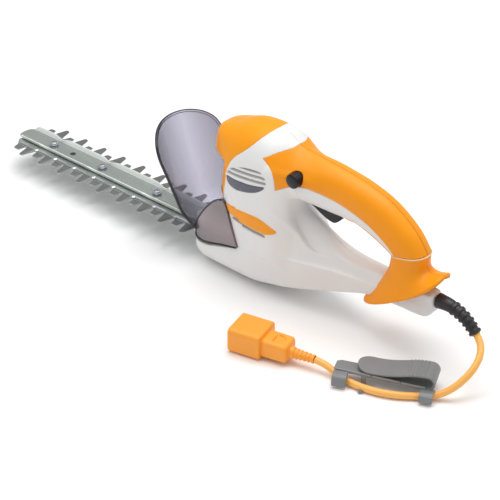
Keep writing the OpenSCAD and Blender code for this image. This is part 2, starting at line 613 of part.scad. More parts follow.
module strain_relief() {
    color("black") {
        n = len(relief_path) - 1;
        steps = 44;
        loft([for (k = [0 : steps]) tube_ring(relief_path, n*k/steps, relief_r(k/steps), 16)]);
    }
}
module cord() { color("orange") tube(cord_route, cord_d/2, 56, 10); }

plug_place = [94.5, -115.5, 11.5];
plug_angle = 13.5;
head_size = [30, 33, 23];
module at_plug() { translate(plug_place) rotate([0, 0, plug_angle]) children(); }
// Rounded bar along X with a rectangular section.
module rounded_bar(x0, x1, w, h, r) {
    translate([x0, 0, 0]) rotate([90, 0, 90]) linear_extrude(x1 - x0) union() {
        square([w - 2*r, h], center = true);
        square([w, h - 2*r], center = true);
        for (i = [-1, 1]) for (j = [-1, 1]) translate([i*(w/2 - r), j*(h/2 - r)]) circle(r = r, $fn = 32);
    }
}
module plug_body() {
    color("orange") at_plug() difference() {
        union() {
            rounded_bar(0, head_size[0], head_size[1], head_size[2], 5);
            rounded_bar(head_size[0], 57, 24, 18, 5);
            rotate([0, 90, 0]) translate([0, 0, 57]) cylinder(d = 12.5, h = 5);
            for (i = [0 : 4]) rotate([0, 90, 0]) translate([0, 0, 62 + 4.2*i]) {
                cylinder(d = 8.4 - 0.1*i, h = 4.2);
                translate([0, 0, 1.5]) cylinder(d = 11.4 - 0.5*i, h = 2.7);
            }
        }
        rounded_bar(-1, 20, head_size[1] - 7, head_size[2] - 7, 2.5);
        for (side = [-1, 1]) translate([19, side*6 - 1, -3.5]) cube([8, 2, 7]);
        translate([44, 0, 8]) cylinder(r = 7.5, h = 3);
        rotate([0, 90, 0]) translate([0, 0, 82]) cylinder(d = cord_d + 0.3, h = 3);
    }
}
module plug_pins() {
    color("gold") at_plug() for (side = [-1, 1]) translate([6, side*6 - 1, -3.5]) cube([21, 2, 7]);
}
clip_place = [203, -84, 0];
clip_angle = 24;
clip_t = 2.2;
// Band of even thickness along points of the clip's side view.
function band_normal(p, i) = let (d = unit(p[min(i + 1, len(p) - 1)] - p[max(i - 1, 0)])) [-d[1], d[0]];
module band(p, t) {
    polygon(concat([for (i = [0 : len(p) - 1]) p[i] + t/2*band_normal(p, i)],
        [for (i = [len(p) - 1 : -1 : 0]) p[i] - t/2*band_normal(p, i)]));
}
clip_side = concat([[-9, 12.1], [20, 12.1], [50, 12.1], [80, 12.1]],
    [for (a = [-90 : 22.5 : 90]) [82 + 5.6*cos(a), 17.7 + 5.6*sin(a)]],
    [[76, 23.6], [66, 22.4], [54, 19.8], [42, 17.6], [30, 17], [20, 18], [12, 20]]);
module cord_clip() {
    color("dimgray") translate(clip_place) rotate([0, 0, clip_angle]) {
        translate([0, 15, 0]) rotate([90, 0, 0]) linear_extrude(26) band(clip_side, clip_t);
        for (hook = [[-8, 14, -23.5], [18, 5, -26], [76, 13, -23.5]]) {
            translate([hook[0], hook[2], 0]) cube([hook[1], 2, 13.2]);
            translate([hook[0], hook[2], 11]) cube([hook[1], -11 - hook[2], clip_t]);
            translate([hook[0], hook[2], 0]) cube([hook[1], 3.4, 1.6]);
        }
    }
}

housing_left();
housing_right();
motor_cover_left();
motor_cover_right();
front_cap();
trim_left();
trim_right();
vent_badge_left();
vent_badge_right();
grip_left();
grip_right();
handle_liner();
rear_foot_left();
rear_foot_right();
hand_guard();
guard_screws();
base_plate();
gear_case();
crank_pin();
guide_bar();
bar_screws();
bar_spacers();
bar_nuts();
upper_blade();
lower_blade();
crank_gear();
pinion();
armature();
commutator();
fan();
field_core();
field_coils();
motor_frame();
bearing_lower();
bearing_upper();
brush_holders();
carbon_brushes();
switch_body();
capacitor();
inner_leads();
trigger();
trigger_pin();
trigger_spring();
lock_button();
button_spring();
strain_relief();
cord();
plug_body();
plug_pins();
cord_clip();
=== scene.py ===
"""Hedge trimmer: the looks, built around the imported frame. Tables are in millimetres, in the row frame."""
import math

import bmesh
import bpy
import numpy as np
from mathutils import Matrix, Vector
from mathutils.geometry import tessellate_polygon


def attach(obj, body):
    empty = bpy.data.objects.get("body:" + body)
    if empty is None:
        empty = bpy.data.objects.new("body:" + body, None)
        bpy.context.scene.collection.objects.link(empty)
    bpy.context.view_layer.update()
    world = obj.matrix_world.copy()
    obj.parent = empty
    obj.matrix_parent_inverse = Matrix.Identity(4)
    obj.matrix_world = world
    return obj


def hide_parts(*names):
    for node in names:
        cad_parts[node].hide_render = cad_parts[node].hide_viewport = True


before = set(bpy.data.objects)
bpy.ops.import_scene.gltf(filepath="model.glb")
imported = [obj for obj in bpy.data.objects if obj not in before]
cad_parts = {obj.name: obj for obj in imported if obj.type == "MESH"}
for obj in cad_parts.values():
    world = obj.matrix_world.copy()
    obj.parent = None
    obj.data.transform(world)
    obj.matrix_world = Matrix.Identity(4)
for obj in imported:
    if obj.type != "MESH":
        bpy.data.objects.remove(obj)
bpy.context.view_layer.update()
MM = 0.001
scene = bpy.context.scene

# ---- camera ----------------------------------------------------------------------------------
LOOK_AT = Vector((0.00651, 0.0, 0.01846))
AZIMUTH, ELEVATION, DISTANCE = math.radians(41.67), math.radians(32.57), 1.6
LENS, SENSOR = 108.84, 36.0
back = Vector((math.sin(AZIMUTH)*math.cos(ELEVATION), -math.cos(AZIMUTH)*math.cos(ELEVATION),
               math.sin(ELEVATION)))
camera = bpy.data.objects.new("camera", bpy.data.cameras.new("camera"))
scene.collection.objects.link(camera)
camera.data.lens, camera.data.sensor_width = LENS, SENSOR
camera.data.clip_start, camera.data.clip_end = 0.05, 50
camera.location = LOOK_AT + back*DISTANCE
camera.rotation_mode = "QUATERNION"
camera.rotation_quaternion = (-back).to_track_quat("-Z", "Y")
scene.camera = camera


# ---- materials -------------------------------------------------------------------------------
def srgb(r, g, b):
    """Linear colour of an sRGB one given in 0 to 255."""
    lin = [c/255/12.92 if c <= 10 else ((c/255 + 0.055)/1.055)**2.4 for c in (r, g, b)]
    return (*lin, 1.0)


def shade(color, k):
    return (*[min(c*k, 1.0) for c in color[:3]], 1.0)


def material(name, color, rough=0.4, metal=0.0, mottle=0.05, mottle_scale=35.0, grain=1400.0,
             grain_depth=0.00002, wear=1.25, wear_at=0.56, stretch=None, coat=0.0, specular=0.5,
             transmission=0.0, ior=1.5, scratch=0.0, painted_highlight=None):
    """Principled material with mottled colour, worn edges, uneven roughness and a moulded or brushed grain,
    and if asked a painted highlight band.
    """
    m = bpy.data.materials.new(name)
    m.use_nodes = True
    nt = m.node_tree
    nodes, links = nt.nodes, nt.links
    bsdf = nodes["Principled BSDF"]
    bsdf.inputs["Metallic"].default_value = metal
    bsdf.inputs["Coat Weight"].default_value = coat
    bsdf.inputs["Coat Roughness"].default_value = 0.08
    bsdf.inputs["Specular IOR Level"].default_value = specular
    bsdf.inputs["Transmission Weight"].default_value = transmission
    bsdf.inputs["IOR"].default_value = ior
    where = nodes.new("ShaderNodeTexCoord")
    source = where.outputs["Object"]
    if stretch:
        mapping = nodes.new("ShaderNodeMapping")
        mapping.inputs["Scale"].default_value = stretch
        links.new(source, mapping.inputs["Vector"])
        source = mapping.outputs["Vector"]

    def noise(scale, detail, seed):
        n = nodes.new("ShaderNodeTexNoise")
        n.noise_dimensions = "4D"
        n.inputs["W"].default_value = seed
        n.inputs["Scale"].default_value = scale
        n.inputs["Detail"].default_value = detail
        links.new(source, n.inputs["Vector"])
        return n.outputs["Fac"]

    def ramp(value, low, high, a, b):
        r = nodes.new("ShaderNodeMapRange")
        for key, v in zip(("From Min", "From Max", "To Min", "To Max"), (low, high, a, b)):
            r.inputs[key].default_value = v
        links.new(value, r.inputs["Value"])
        return r.outputs["Result"]

    def blend(factor, a, b):
        mix = nodes.new("ShaderNodeMix")
        mix.data_type = "RGBA"
        links.new(factor, mix.inputs["Factor"])
        for socket, value in ((mix.inputs[6], a), (mix.inputs[7], b)):
            if isinstance(value, tuple):
                socket.default_value = value
            else:
                links.new(value, socket)
        return mix.outputs[2]

    body = blend(ramp(noise(mottle_scale, 4.0, 1.7), 0.3, 0.7, 0.0, 1.0), shade(color, 1 - mottle),
                 shade(color, 1 + mottle))
    # Painted highlight: the base colour is lifted by k in a band round middle_at along one object axis.
    if painted_highlight:
        axis, middle_at, reach, k = painted_highlight
        split = nodes.new("ShaderNodeSeparateXYZ")
        links.new(where.outputs["Object"], split.inputs["Vector"])
        near = ramp(split.outputs[axis], middle_at - reach, middle_at, 0.0, 1.0)
        far = ramp(split.outputs[axis], middle_at, middle_at + reach, 1.0, 0.0)
        both = nodes.new("ShaderNodeMath")
        both.operation = "MULTIPLY"
        links.new(near, both.inputs[0])
        links.new(far, both.inputs[1])
        body = blend(both.outputs["Value"], body, shade(color, k))
    geometry = nodes.new("ShaderNodeNewGeometry")
    edge = ramp(geometry.outputs["Pointiness"], wear_at, wear_at + 0.12, 0.0, 0.55)
    body = blend(edge, body, shade(color, wear))
    if scratch:
        marks = ramp(noise(420.0, 2.0, 9.1), 0.62, 0.7, 0.0, scratch)
        body = blend(marks, body, shade(color, 0.7))
    links.new(body, bsdf.inputs["Base Color"])
    links.new(ramp(noise(mottle_scale*3, 3.0, 4.2), 0.25, 0.75, rough - 0.06, rough + 0.07),
              bsdf.inputs["Roughness"])
    bump = nodes.new("ShaderNodeBump")
    bump.inputs["Strength"].default_value = 0.43
    bump.inputs["Distance"].default_value = grain_depth
    links.new(noise(grain, 2.0, 6.6), bump.inputs["Height"])
    links.new(bump.outputs["Normal"], bsdf.inputs["Normal"])
    return m


WHITE = material("white_abs", srgb(232, 232, 231), rough=0.36, mottle=0.012, grain_depth=0.000015, wear=1.04)
# Painted shade: greys for the faces inside the louvres and the slot under the leaf; the deepest faces take the
# lighter grey, as the geometry shades them too.
SHADED = material("vent_painted_shade", srgb(166, 166, 166), rough=0.55, mottle=0.05, grain_depth=0.00002)
DEEP = material("vent_shadow", srgb(186, 186, 186), rough=0.6, mottle=0.05, grain_depth=0.00002)
ORANGE = material("orange_abs", srgb(250, 158, 8), rough=0.37, specular=0.35, mottle=0.02,
                  grain_depth=0.00002, wear=1.12)
GRIP = material("orange_elastomer", srgb(249, 153, 6), rough=0.43, specular=0.33, mottle=0.025,
                grain_depth=0.00003, wear=1.1)
# Painted shade: a darker orange for the faces along the seam on the handle's top.
GRIP_SEAM_SHADE = material("orange_seam_shade", srgb(176, 100, 6), rough=0.5, mottle=0.04)
BADGE = material("badge_lacquer", srgb(76, 77, 92), rough=0.25, mottle=0.06, coat=0.5, wear=1.3)
# Painted reflection: the guard's sheet is made lighter in a band about its middle in y.
SMOKE = material("smoke_sheet", srgb(134, 133, 144), rough=0.09, painted_highlight=("Y", 0.012, 0.05, 2.5), mottle=0.03,
                 mottle_scale=12, grain=300, grain_depth=0.000006, transmission=0.82, ior=1.15, wear=1.0)
# Painted highlight: the cheeks are made lighter in a band round 62 mm height.
CHEEK = material("smoke_cheek", srgb(82, 63, 69), painted_highlight=("Z", 0.062, 0.022, 2.2), rough=0.16, mottle=0.1,
                 mottle_scale=16, grain=300, grain_depth=0.000006, transmission=0.12, ior=1.45, coat=0.25,
                 wear=0.8, specular=0.4)
RIM = material("dark_rim", srgb(38, 36, 40), rough=0.3, mottle=0.1, wear=1.6)
ZINC = material("zinc_plate", srgb(184, 191, 187), rough=0.27, metal=0.8, mottle=0.07, mottle_scale=60,
                stretch=(0.25, 1.0, 1.0), grain=900, grain_depth=0.00003, wear=1.3)
BRIGHT = material("bright_screw", srgb(196, 200, 206), rough=0.22, metal=0.95, mottle=0.06, wear=1.2)
# Painted highlight: a lighter copy of the zinc for the bar's steep faces and tops.
ZINC_HIGHLIT = material("zinc_painted_highlight", srgb(232, 238, 234), rough=0.36, metal=0.3, mottle=0.05, mottle_scale=60,
                  stretch=(0.25, 1.0, 1.0), grain=900, grain_depth=0.00003, wear=1.1)
TOOTH = material("tooth_steel", srgb(112, 113, 112), rough=0.42, metal=0.35, mottle=0.09, mottle_scale=80,
                 grain=1500, grain_depth=0.00003, wear=1.5, scratch=0.25)
GROUND = material("ground_steel", srgb(188, 191, 193), rough=0.44, metal=0.75, mottle=0.06, mottle_scale=90,
                  stretch=(1.0, 0.15, 1.0), grain=2600, grain_depth=0.00004, wear=1.2)
GEAR = material("gear_steel", srgb(150, 150, 152), rough=0.32, metal=0.9, mottle=0.08, wear=1.3)
ALLOY = material("cast_alloy", srgb(150, 152, 154), rough=0.5, metal=0.8, mottle=0.08, grain=500,
                 grain_depth=0.0001)
CORE = material("core_steel", srgb(120, 122, 126), rough=0.42, metal=0.85, mottle=0.08, stretch=(1, 1, 18),
                grain=300, grain_depth=0.00008)
COPPER = material("copper", srgb(190, 112, 70), rough=0.3, metal=0.9, mottle=0.1, stretch=(1, 1, 12),
                  grain=500, grain_depth=0.0001)
# Painted highlight: a pale colour for the tube round the grip's collar.
PALE_HIGHLIGHT = material("collar_highlight", srgb(236, 206, 168), rough=0.45, mottle=0.03)
BLACK = material("black_gloss", srgb(20, 18, 24), rough=0.3, mottle=0.15, coat=0.12, specular=0.3, wear=1.6)
BLACK_MATT = material("black_plastic", srgb(34, 34, 38), rough=0.42, mottle=0.12, wear=1.8)
CARBON = material("carbon", srgb(44, 44, 46), rough=0.6, mottle=0.15)
AMBER = material("amber_plastic", srgb(196, 146, 52), rough=0.35, mottle=0.08)
WIRE = material("wire_cover", srgb(120, 72, 42), rough=0.4, mottle=0.1)
RUBBER = material("black_rubber", srgb(37, 36, 40), rough=0.38, mottle=0.14, grain=900, grain_depth=0.00006,
                  wear=2.2)
CORD = material("cord_jacket", srgb(252, 184, 92), rough=0.36, mottle=0.03, grain=900, grain_depth=0.00004,
                wear=1.05)
PLUG = material("plug_vinyl", srgb(251, 162, 48), rough=0.4, mottle=0.03, grain=900, grain_depth=0.00004,
                wear=1.1)
BRASS = material("brass_pins", srgb(206, 170, 96), rough=0.25, metal=0.9, mottle=0.06)
# Painted highlight: a lighter copy of the clip's grey for its rails.
RAIL_HIGHLIT = material("grey_rail_highlight", srgb(146, 148, 152), rough=0.4, mottle=0.05, wear=1.2)
GREY = material("grey_plastic", srgb(126, 127, 128), rough=0.42, mottle=0.05, grain=1000,
                grain_depth=0.00004, wear=1.35)


# ---- mesh tools ------------------------------------------------------------------------------
def make(name, verts, faces, mats, body="housing", stands_for=(), slot=None, mats_of=None, smooth=True,
         sharp=None):
    """Object of a mesh given in millimetres. mats_of holds each face's place in mats."""
    mesh = bpy.data.meshes.new(name)
    mesh.from_pydata((np.asarray(verts, float)*MM).tolist(), [],
                     faces.tolist() if hasattr(faces, "tolist") else faces)
    mats = mats if isinstance(mats, (list, tuple)) else [mats]
    for m in mats:
        mesh.materials.append(m)
    if mats_of is not None:
        mesh.polygons.foreach_set("material_index", np.asarray(mats_of, np.int32))
    mesh.polygons.foreach_set("use_smooth", np.full(len(mesh.polygons), smooth))
    mesh.validate()
    if sharp:
        mesh.set_sharp_from_angle(angle=math.radians(sharp))
    o = bpy.data.objects.new(name, mesh)
    scene.collection.objects.link(o)
    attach(o, body)
    if stands_for:
        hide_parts(*stands_for)
    return o


def face_outwards(o):
    bm = bmesh.new()
    bm.from_mesh(o.data)
    bmesh.ops.recalc_face_normals(bm, faces=bm.faces)
    bm.to_mesh(o.data)
    bm.free()
    return o


def curve(table):
    """Smooth function through stations: the first column is where, and it gives the other columns."""
    t = np.array(table, float)
    x, v = t[:, 0], t[:, 1:]
    m = np.empty_like(v)
    m[0], m[-1] = (v[1] - v[0])/(x[1] - x[0]), (v[-1] - v[-2])/(x[-1] - x[-2])
    m[1:-1] = (v[2:] - v[:-2])/(x[2:] - x[:-2])[:, None]

    def at(s):
        s = np.clip(np.asarray(s, float), x[0], x[-1])
        i = np.clip(np.searchsorted(x, s, side="right") - 1, 0, len(x) - 2)
        h = (x[i + 1] - x[i])[..., None]
        u = (s - x[i])[..., None]/h
        return ((2*u**3 - 3*u**2 + 1)*v[i] + (u**3 - 2*u**2 + u)*h*m[i]
                + (3*u**2 - 2*u**3)*v[i + 1] + (u**3 - u**2)*h*m[i + 1])
    return at


def route(points, per=8):
    """Catmull-Rom line through points, with so many steps between two of them."""
    p = np.array(points, float)
    out = []
    for i in range(len(p) - 1):
        a, b, c, d = p[max(i - 1, 0)], p[i], p[i + 1], p[min(i + 2, len(p) - 1)]
        for f in np.arange(per)/per:
            out.append(b + 0.5*f*((c - a) + f*((2*a - 5*b + 4*c - d) + f*(3*(b - c) + d - a))))
    out.append(p[-1])
    return np.array(out)


def smin(a, b, k):
    h = np.clip(0.5 + 0.5*(b - a)/k, 0, 1)
    return b + (a - b)*h - k*h*(1 - h)


def smax(a, b, k):
    return -smin(-a, -b, k)


def step(a, b, t):
    s = np.clip((t - a)/(b - a), 0, 1)
    return s*s*(3 - 2*s)


def surface_net(field, low, high, pitch):
    """Triangles on the field's zero level, as dual vertices of the cells that it crosses."""
    axes = [np.arange(low[i], high[i] + pitch, pitch) for i in range(3)]
    grid = np.meshgrid(*axes, indexing="ij")
    v = field(*grid)
    inside = v < 0
    cells = [n - 1 for n in v.shape]
    total, count = np.zeros((*cells, 3)), np.zeros(cells)
    edges = []
    for a in range(3):
        lo = [slice(None)]*3
        hi = [slice(None)]*3
        lo[a], hi[a] = slice(None, -1), slice(1, None)
        va, vb = v[tuple(lo)], v[tuple(hi)]
        cross = inside[tuple(lo)] != inside[tuple(hi)]
        t = np.where(cross, va/np.where(cross, va - vb, 1), 0)
        pos = np.stack([g[tuple(lo)] for g in grid], -1)
        pos[..., a] += t*pitch
        b, c = (a + 1) % 3, (a + 2) % 3
        for db in (0, 1):
            for dc in (0, 1):
                src, dst = [slice(None)]*3, [slice(None)]*3
                for ax, dd in ((b, db), (c, dc)):
                    src[ax] = slice(1, None) if dd else slice(None, -1)
                    dst[ax] = slice(None)
                total += np.where(cross[tuple(src)][..., None], pos[tuple(src)], 0)
                count += cross[tuple(src)]
        edges.append((a, b, c, np.argwhere(cross), inside[tuple(lo)][cross]))
    used = count > 0
    index = np.full(cells, -1)
    index[used] = np.arange(used.sum())
    verts = total[used]/count[used][:, None]
    quads = []
    for a, b, c, where, is_in in edges:
        ok = (where[:, b] > 0) & (where[:, c] > 0) & (where[:, b] < cells[b]) & (where[:, c] < cells[c])
        w, s = where[ok], is_in[ok]
        ring = []
        for db, dc in ((1, 1), (0, 1), (0, 0), (1, 0)):
            k = w.copy()
            k[:, b] -= db
            k[:, c] -= dc
            ring.append(index[k[:, 0], k[:, 1], k[:, 2]])
        q = np.stack(ring, 1)
        q[~s] = q[~s][:, ::-1]
        quads.append(q)
    q = np.concatenate(quads)
    return verts, np.concatenate([q[:, [0, 1, 2]], q[:, [0, 2, 3]]])


def gradient(f, p, e=0.05):
    g = np.empty_like(p)
    for a in range(3):
        hi, lo = p.copy(), p.copy()
        hi[:, a] += e
        lo[:, a] -= e
        g[:, a] = (f(*hi.T) - f(*lo.T))/(2*e)
    return g


def project(f, p, times=3):
    for _ in range(times):
        g = gradient(f, p)
        p = p - np.clip(f(*p.T)/np.maximum((g*g).sum(1), 0.02), -2, 2)[:, None]*g
    return p


def cut(p, tri, f, g, level, snap=0.16):
    """Splits triangles where g, a function of place, passes a level. New points lie on f's surface."""
    val = g(*p.T) - level
    slope = gradient(g, p)
    n = gradient(f, p)
    n /= np.linalg.norm(n, axis=1)[:, None] + 1e-9
    slope -= (slope*n).sum(1)[:, None]*n
    size = (slope*slope).sum(1)
    near = (np.abs(val) < snap*np.sqrt(size)) & (size > 0.05)
    p = p.copy()
    p[near] -= (val[near]/size[near])[:, None]*slope[near]
    val = np.where(near, 0.0, val)
    side = np.sign(val).astype(int)
    e = np.concatenate([tri[:, [0, 1]], tri[:, [1, 2]], tri[:, [2, 0]]])
    e.sort(axis=1)
    e = e[side[e[:, 0]]*side[e[:, 1]] < 0]
    if not len(e):
        return p, tri
    e = np.unique(e, axis=0)
    a, b = val[e[:, 0]], val[e[:, 1]]
    t = (a/(a - b))[:, None]
    fresh = project(f, p[e[:, 0]]*(1 - t) + p[e[:, 1]]*t, 2)
    key = {tuple(k): len(p) + i for i, k in enumerate(e.tolist())}
    p = np.concatenate([p, fresh])
    s = side[tri]
    busy = (s.min(1) < 0) & (s.max(1) > 0)
    out = []
    for t3 in tri[busy].tolist():
        ring = []
        for i in range(3):
            u, w = t3[i], t3[(i + 1) % 3]
            ring.append((u, side[u]))
            if side[u]*side[w] < 0:
                ring.append((key[(u, w) if u < w else (w, u)], 0))
        for sign in (1, -1):
            part = [k for k, sd in ring if sd != -sign]
            out += [[part[0], part[i], part[i + 1]] for i in range(1, len(part) - 1)]
    return p, np.concatenate([tri[~busy], np.array(out, int)])


def only(p, tri):
    """The points that the triangles use, and the triangles renumbered."""
    used, inverse = np.unique(tri, return_inverse=True)
    return p[used], inverse.reshape(tri.shape)


def rim_edges(tri):
    """Directed edges that only one triangle has."""
    e = np.concatenate([tri[:, [0, 1]], tri[:, [1, 2]], tri[:, [2, 0]]])
    key = np.sort(e, axis=1)
    _, inverse, count = np.unique(key, axis=0, return_inverse=True, return_counts=True)
    return e[count[inverse.ravel()] == 1]


def thicken(outer, inner, faces):
    """Closed shell between two skins with the same faces."""
    n = len(outer)
    rim = rim_edges(np.asarray(faces))
    walls = [[a, a + n, b] for a, b in rim] + [[b, a + n, b + n] for a, b in rim]
    return (np.concatenate([outer, inner]),
            np.concatenate([faces, np.asarray(faces)[:, ::-1] + n, np.array(walls, int).reshape(-1, 3)]))


def skin_normals(f, p):
    n = gradient(f, p)
    return n/(np.linalg.norm(n, axis=1)[:, None] + 1e-9)


def grid_faces(rows, cols, closed=False):
    """Quads of a grid of points, row by row. closed joins the last column to the first."""
    r, c = np.meshgrid(np.arange(rows - 1), np.arange(cols if closed else cols - 1), indexing="ij")
    a = r*cols + c
    b = r*cols + (c + 1) % cols
    return np.stack([a, b, b + cols, a + cols], -1).reshape(-1, 4)


def mirrored(verts, faces):
    return verts*[1, -1, 1], faces[:, ::-1]


def tris(quads):
    q = np.asarray(quads)
    return np.concatenate([q[:, [0, 1, 2]], q[:, [0, 2, 3]]])


def end_faces(rows, n):
    """The two end faces of a tube of rings with n points each."""
    return [list(range(n))[::-1], [(rows - 1)*n + i for i in range(n)]]


def lathe_on(path, radius, sides):
    """Tube round a line of points, with a radius for each of them."""
    path = np.array(path, float)
    d = np.gradient(path, axis=0)
    d /= np.linalg.norm(d, axis=1)[:, None]
    side = np.cross(d, [0, 0, 1.0])
    side /= np.linalg.norm(side, axis=1)[:, None] + 1e-12
    up = np.cross(side, d)
    a = np.linspace(0, 2*np.pi, sides, endpoint=False)
    round_it = np.cos(a)[:, None]*side[:, None] + np.sin(a)[:, None]*up[:, None]
    verts = (path[:, None] + np.array(radius)[:, None, None]*round_it).reshape(-1, 3)
    return verts, grid_faces(len(path), sides, closed=True).tolist() + end_faces(len(path), sides)


# ---- cord --------------------------------------------------------------------------------------
CORD_ROUTE = [[294, -3, 48], [299.5, -5.5, 44.5], [304.5, -10, 40.5], [307.9, -16, 37], [309.8, -24, 32.5],
              [309.4, -32, 27], [306.5, -39.5, 20.5], [302, -46, 14], [296, -52, 8.5], [289, -58, 5],
              [281, -64.5, 3.9], [272, -72, 3.75], [262, -79.5, 3.75], [250, -86, 3.75], [237, -90.5, 3.75],
              [223, -93, 3.8], [210, -94, 4.5], [198, -93.5, 6.5], [187, -94, 9.5], [175.8, -96, 11.5]]
CORD_D = 7.0
data = bpy.data.curves.new("cord_line", "CURVE")
data.dimensions = "3D"
data.bevel_depth = CORD_D/2*MM
data.bevel_resolution = 8
data.resolution_u = 16
data.use_fill_caps = True
spline = data.splines.new("BEZIER")
spline.bezier_points.add(len(CORD_ROUTE) - 1)
for point, place in zip(spline.bezier_points, CORD_ROUTE):
    point.co = Vector(place)*MM
    point.handle_left_type = point.handle_right_type = "AUTO"
data.materials.append(CORD)
cord = bpy.data.objects.new("cord_line", data)
scene.collection.objects.link(cord)
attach(cord, "housing")
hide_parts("cord")


# ---- body: one smooth field, cut into panels ----------------------------------------------------
# Lower housing: x, underside, height of the side's crease, half width, radius of the bilge.
BASE = curve([[-50, 12, 24, 20, 12], [-46, 5, 26, 28, 18], [-34, 0.4, 28, 34, 24], [-10, 0.3, 35, 37, 27],
              [20, 0.3, 44, 38, 28], [38, 1, 48.5, 38, 28], [54, 4.5, 52, 36.5, 26], [78, 13.0, 55, 33, 16],
              [110, 24, 56.5, 27, 9], [140, 33, 58, 21, 7], [172, 42, 57.5, 15.5, 6],
              [205, 42.5, 56.5, 12, 6], [236, 43.5, 56.5, 10.5, 5], [246, 50, 58, 9.4, 3]])
# Ridge behind the motor: x, its top, half width there, fall of its crown towards the sides.
RIDGE = curve([[-50, 24, 20, 0], [0, 44, 30, 0], [20, 100, 33, 0], [60, 108, 30, 0.02], [78, 102, 24, 0.04],
               [90, 98.5, 20, 0.06], [98, 95, 17, 0.08], [104, 92, 15, 0.085], [110, 88.5, 13.5, 0.08],
               [117, 84.5, 13, 0.065], [123, 80.5, 12.5, 0.05], [130, 76.5, 12, 0.035],
               [137, 73.6, 11.5, 0.025], [145, 71.8, 11, 0.02], [155, 71, 10.5, 0.02], [172, 70.8, 10, 0.02],
               [190, 70.8, 9.5, 0.02], [205, 71, 9.5, 0.01], [246, 71, 9, 0.01]])
# Loop handle: step, x, z, half height, half width.
HANDLE = curve([[0, 60, 143, 26, 34], [1, 79.3, 142, 25.6, 30], [2, 98, 140.2, 25.4, 24],
                [3, 122, 138, 25.3, 18.8], [4, 150, 136, 23, 17.5], [5, 178, 127.5, 22.5, 17],
                [6, 203, 113, 20, 16.5], [7, 218, 97, 17, 16], [8, 226, 82, 16, 15]])
COLLAR = 7.0
COLLAR_TILT, COLLAR_BACK = 0.48, 8.0
steps = np.linspace(0, 8, 321)
line = HANDLE(steps)


def along_handle():
    """Grids of the handle's step and height above its middle line, over x and z."""
    xs, zs = np.arange(40, 252, 0.5), np.arange(40, 190, 0.5)
    gx, gz = np.meshgrid(xs, zs, indexing="ij")
    px, pz = gx.ravel(), gz.ravel()
    best, above = np.empty(len(px)), np.empty(len(px))
    for s in range(0, len(px), 16000):
        x, z = px[s:s + 16000], pz[s:s + 16000]
        nearest = ((x[:, None] - line[:, 0])**2 + (z[:, None] - line[:, 1])**2).argmin(1)
        k = np.clip(nearest, 1, len(line) - 2)
        a = line[k - 1, :2]
        t = line[k + 1, :2] - a
        size = np.linalg.norm(t, axis=1)
        along = ((x - a[:, 0])*t[:, 0] + (z - a[:, 1])*t[:, 1])/size
        best[s:s + 16000] = steps[k - 1] + (steps[k + 1] - steps[k - 1])*along/size
        above[s:s + 16000] = (-(x - a[:, 0])*t[:, 1] + (z - a[:, 1])*t[:, 0])/size
    return xs, zs, best.reshape(gx.shape), above.reshape(gx.shape)


PX, PZ, PU, PV = along_handle()


def handle_uv(x, z):
    i = np.clip((x - PX[0])/0.5, 0, len(PX) - 1.001)
    j = np.clip((z - PZ[0])/0.5, 0, len(PZ) - 1.001)
    a, b = i.astype(int), j.astype(int)
    fa, fb = i - a, j - b
    return [g[a, b]*(1 - fa)*(1 - fb) + g[a + 1, b]*fa*(1 - fb)
            + g[a, b + 1]*(1 - fa)*fb + g[a + 1, b + 1]*fa*fb for g in (PU, PV)]


def round_max(a, b, r):
    """Largest of two distances, with a true fillet of radius r where they meet."""
    return np.minimum(np.maximum(a, b), -r) + np.hypot(np.maximum(a + r, 0), np.maximum(b + r, 0))


def base_field(x, y, z):
    under, crease, half, bilge = np.moveaxis(BASE(x), -1, 0)
    under = np.maximum(under, 0.3)
    top, top_half, crown = np.moveaxis(RIDGE(x), -1, 0)
    t = np.clip((z - crease)/np.maximum(top - crease, 6), 0, 1.25)
    wide = np.where(z < crease, half - 0.01*(crease - z), half + (np.minimum(top_half, half) - half)*t**0.48)
    d = round_max((np.abs(y) - wide)*0.95, under - z, bilge)
    d = smax(d, z - top + crown*np.minimum(np.abs(y), 16)**2, 2.2)
    return smax(d, np.maximum(-50.0 - x, x - 246.0), 6.0)


def dome_field(x, y, z):
    rear, fore = np.clip(x - 35, 0, 60), np.clip(35 - x, 0, 70)
    half = 40 - 0.0042*rear**2 - 0.010*np.clip(x - 57, 0, 30)**2
    top = 177.5 - 0.0036*rear**2 - 0.024*np.clip(x - 57, 0, 30)**2
    low = np.clip(105 - z, 0, None)
    above = np.clip(z - 105, 0, None)
    m = 2.45
    tall = 3.0 - (3.0 - m)*step(95, 140, z)
    q = ((np.abs(y)/(half - 0.085*low))**tall + (fore/(47 - 0.05*low))**3.4 + (above/(top - 105))**m)**(1/m)
    trunk = (q - 1)*38
    a = m + 1.9*(1 - step(-30, 14, x))
    q = ((np.abs(y)/(half - 17.5*(fore/55)**2.6))**a + (above/(top - 0.9 - 0.0036*fore**2 - 105))**a)**(1/a)
    brow = 139.5 - z - 2.2*np.clip(x - 2, 0, 40)
    nose = smax(smax((q - 1)*30, -24 + 0.002*y*y - x, 2.4), brow, 2.0)
    d = smin(trunk, nose, 5.0)
    return smax(smax(d, x - 80, 6.0), 50 - z, 6.0)


def handle_field(x, y, z):
    u, v = handle_uv(x, z)
    st = HANDLE(u)
    hh, hw = st[..., 2], st[..., 3]
    hh = hh + 1.6*np.exp(-((u - 3.85)/0.3)**2)*(v < 0)
    n = 2.3 - 0.78*(1 - step(1.5, 3.3, u))*(v > 0)*step(0, 12, v)
    q = ((np.abs(v)/hh)**n + (np.abs(y)/hw)**n)**(1/n)
    end = (u - COLLAR)*20 - COLLAR_TILT*v + COLLAR_BACK
    return np.maximum((q - 1)*hw, np.maximum(-u*19, end))


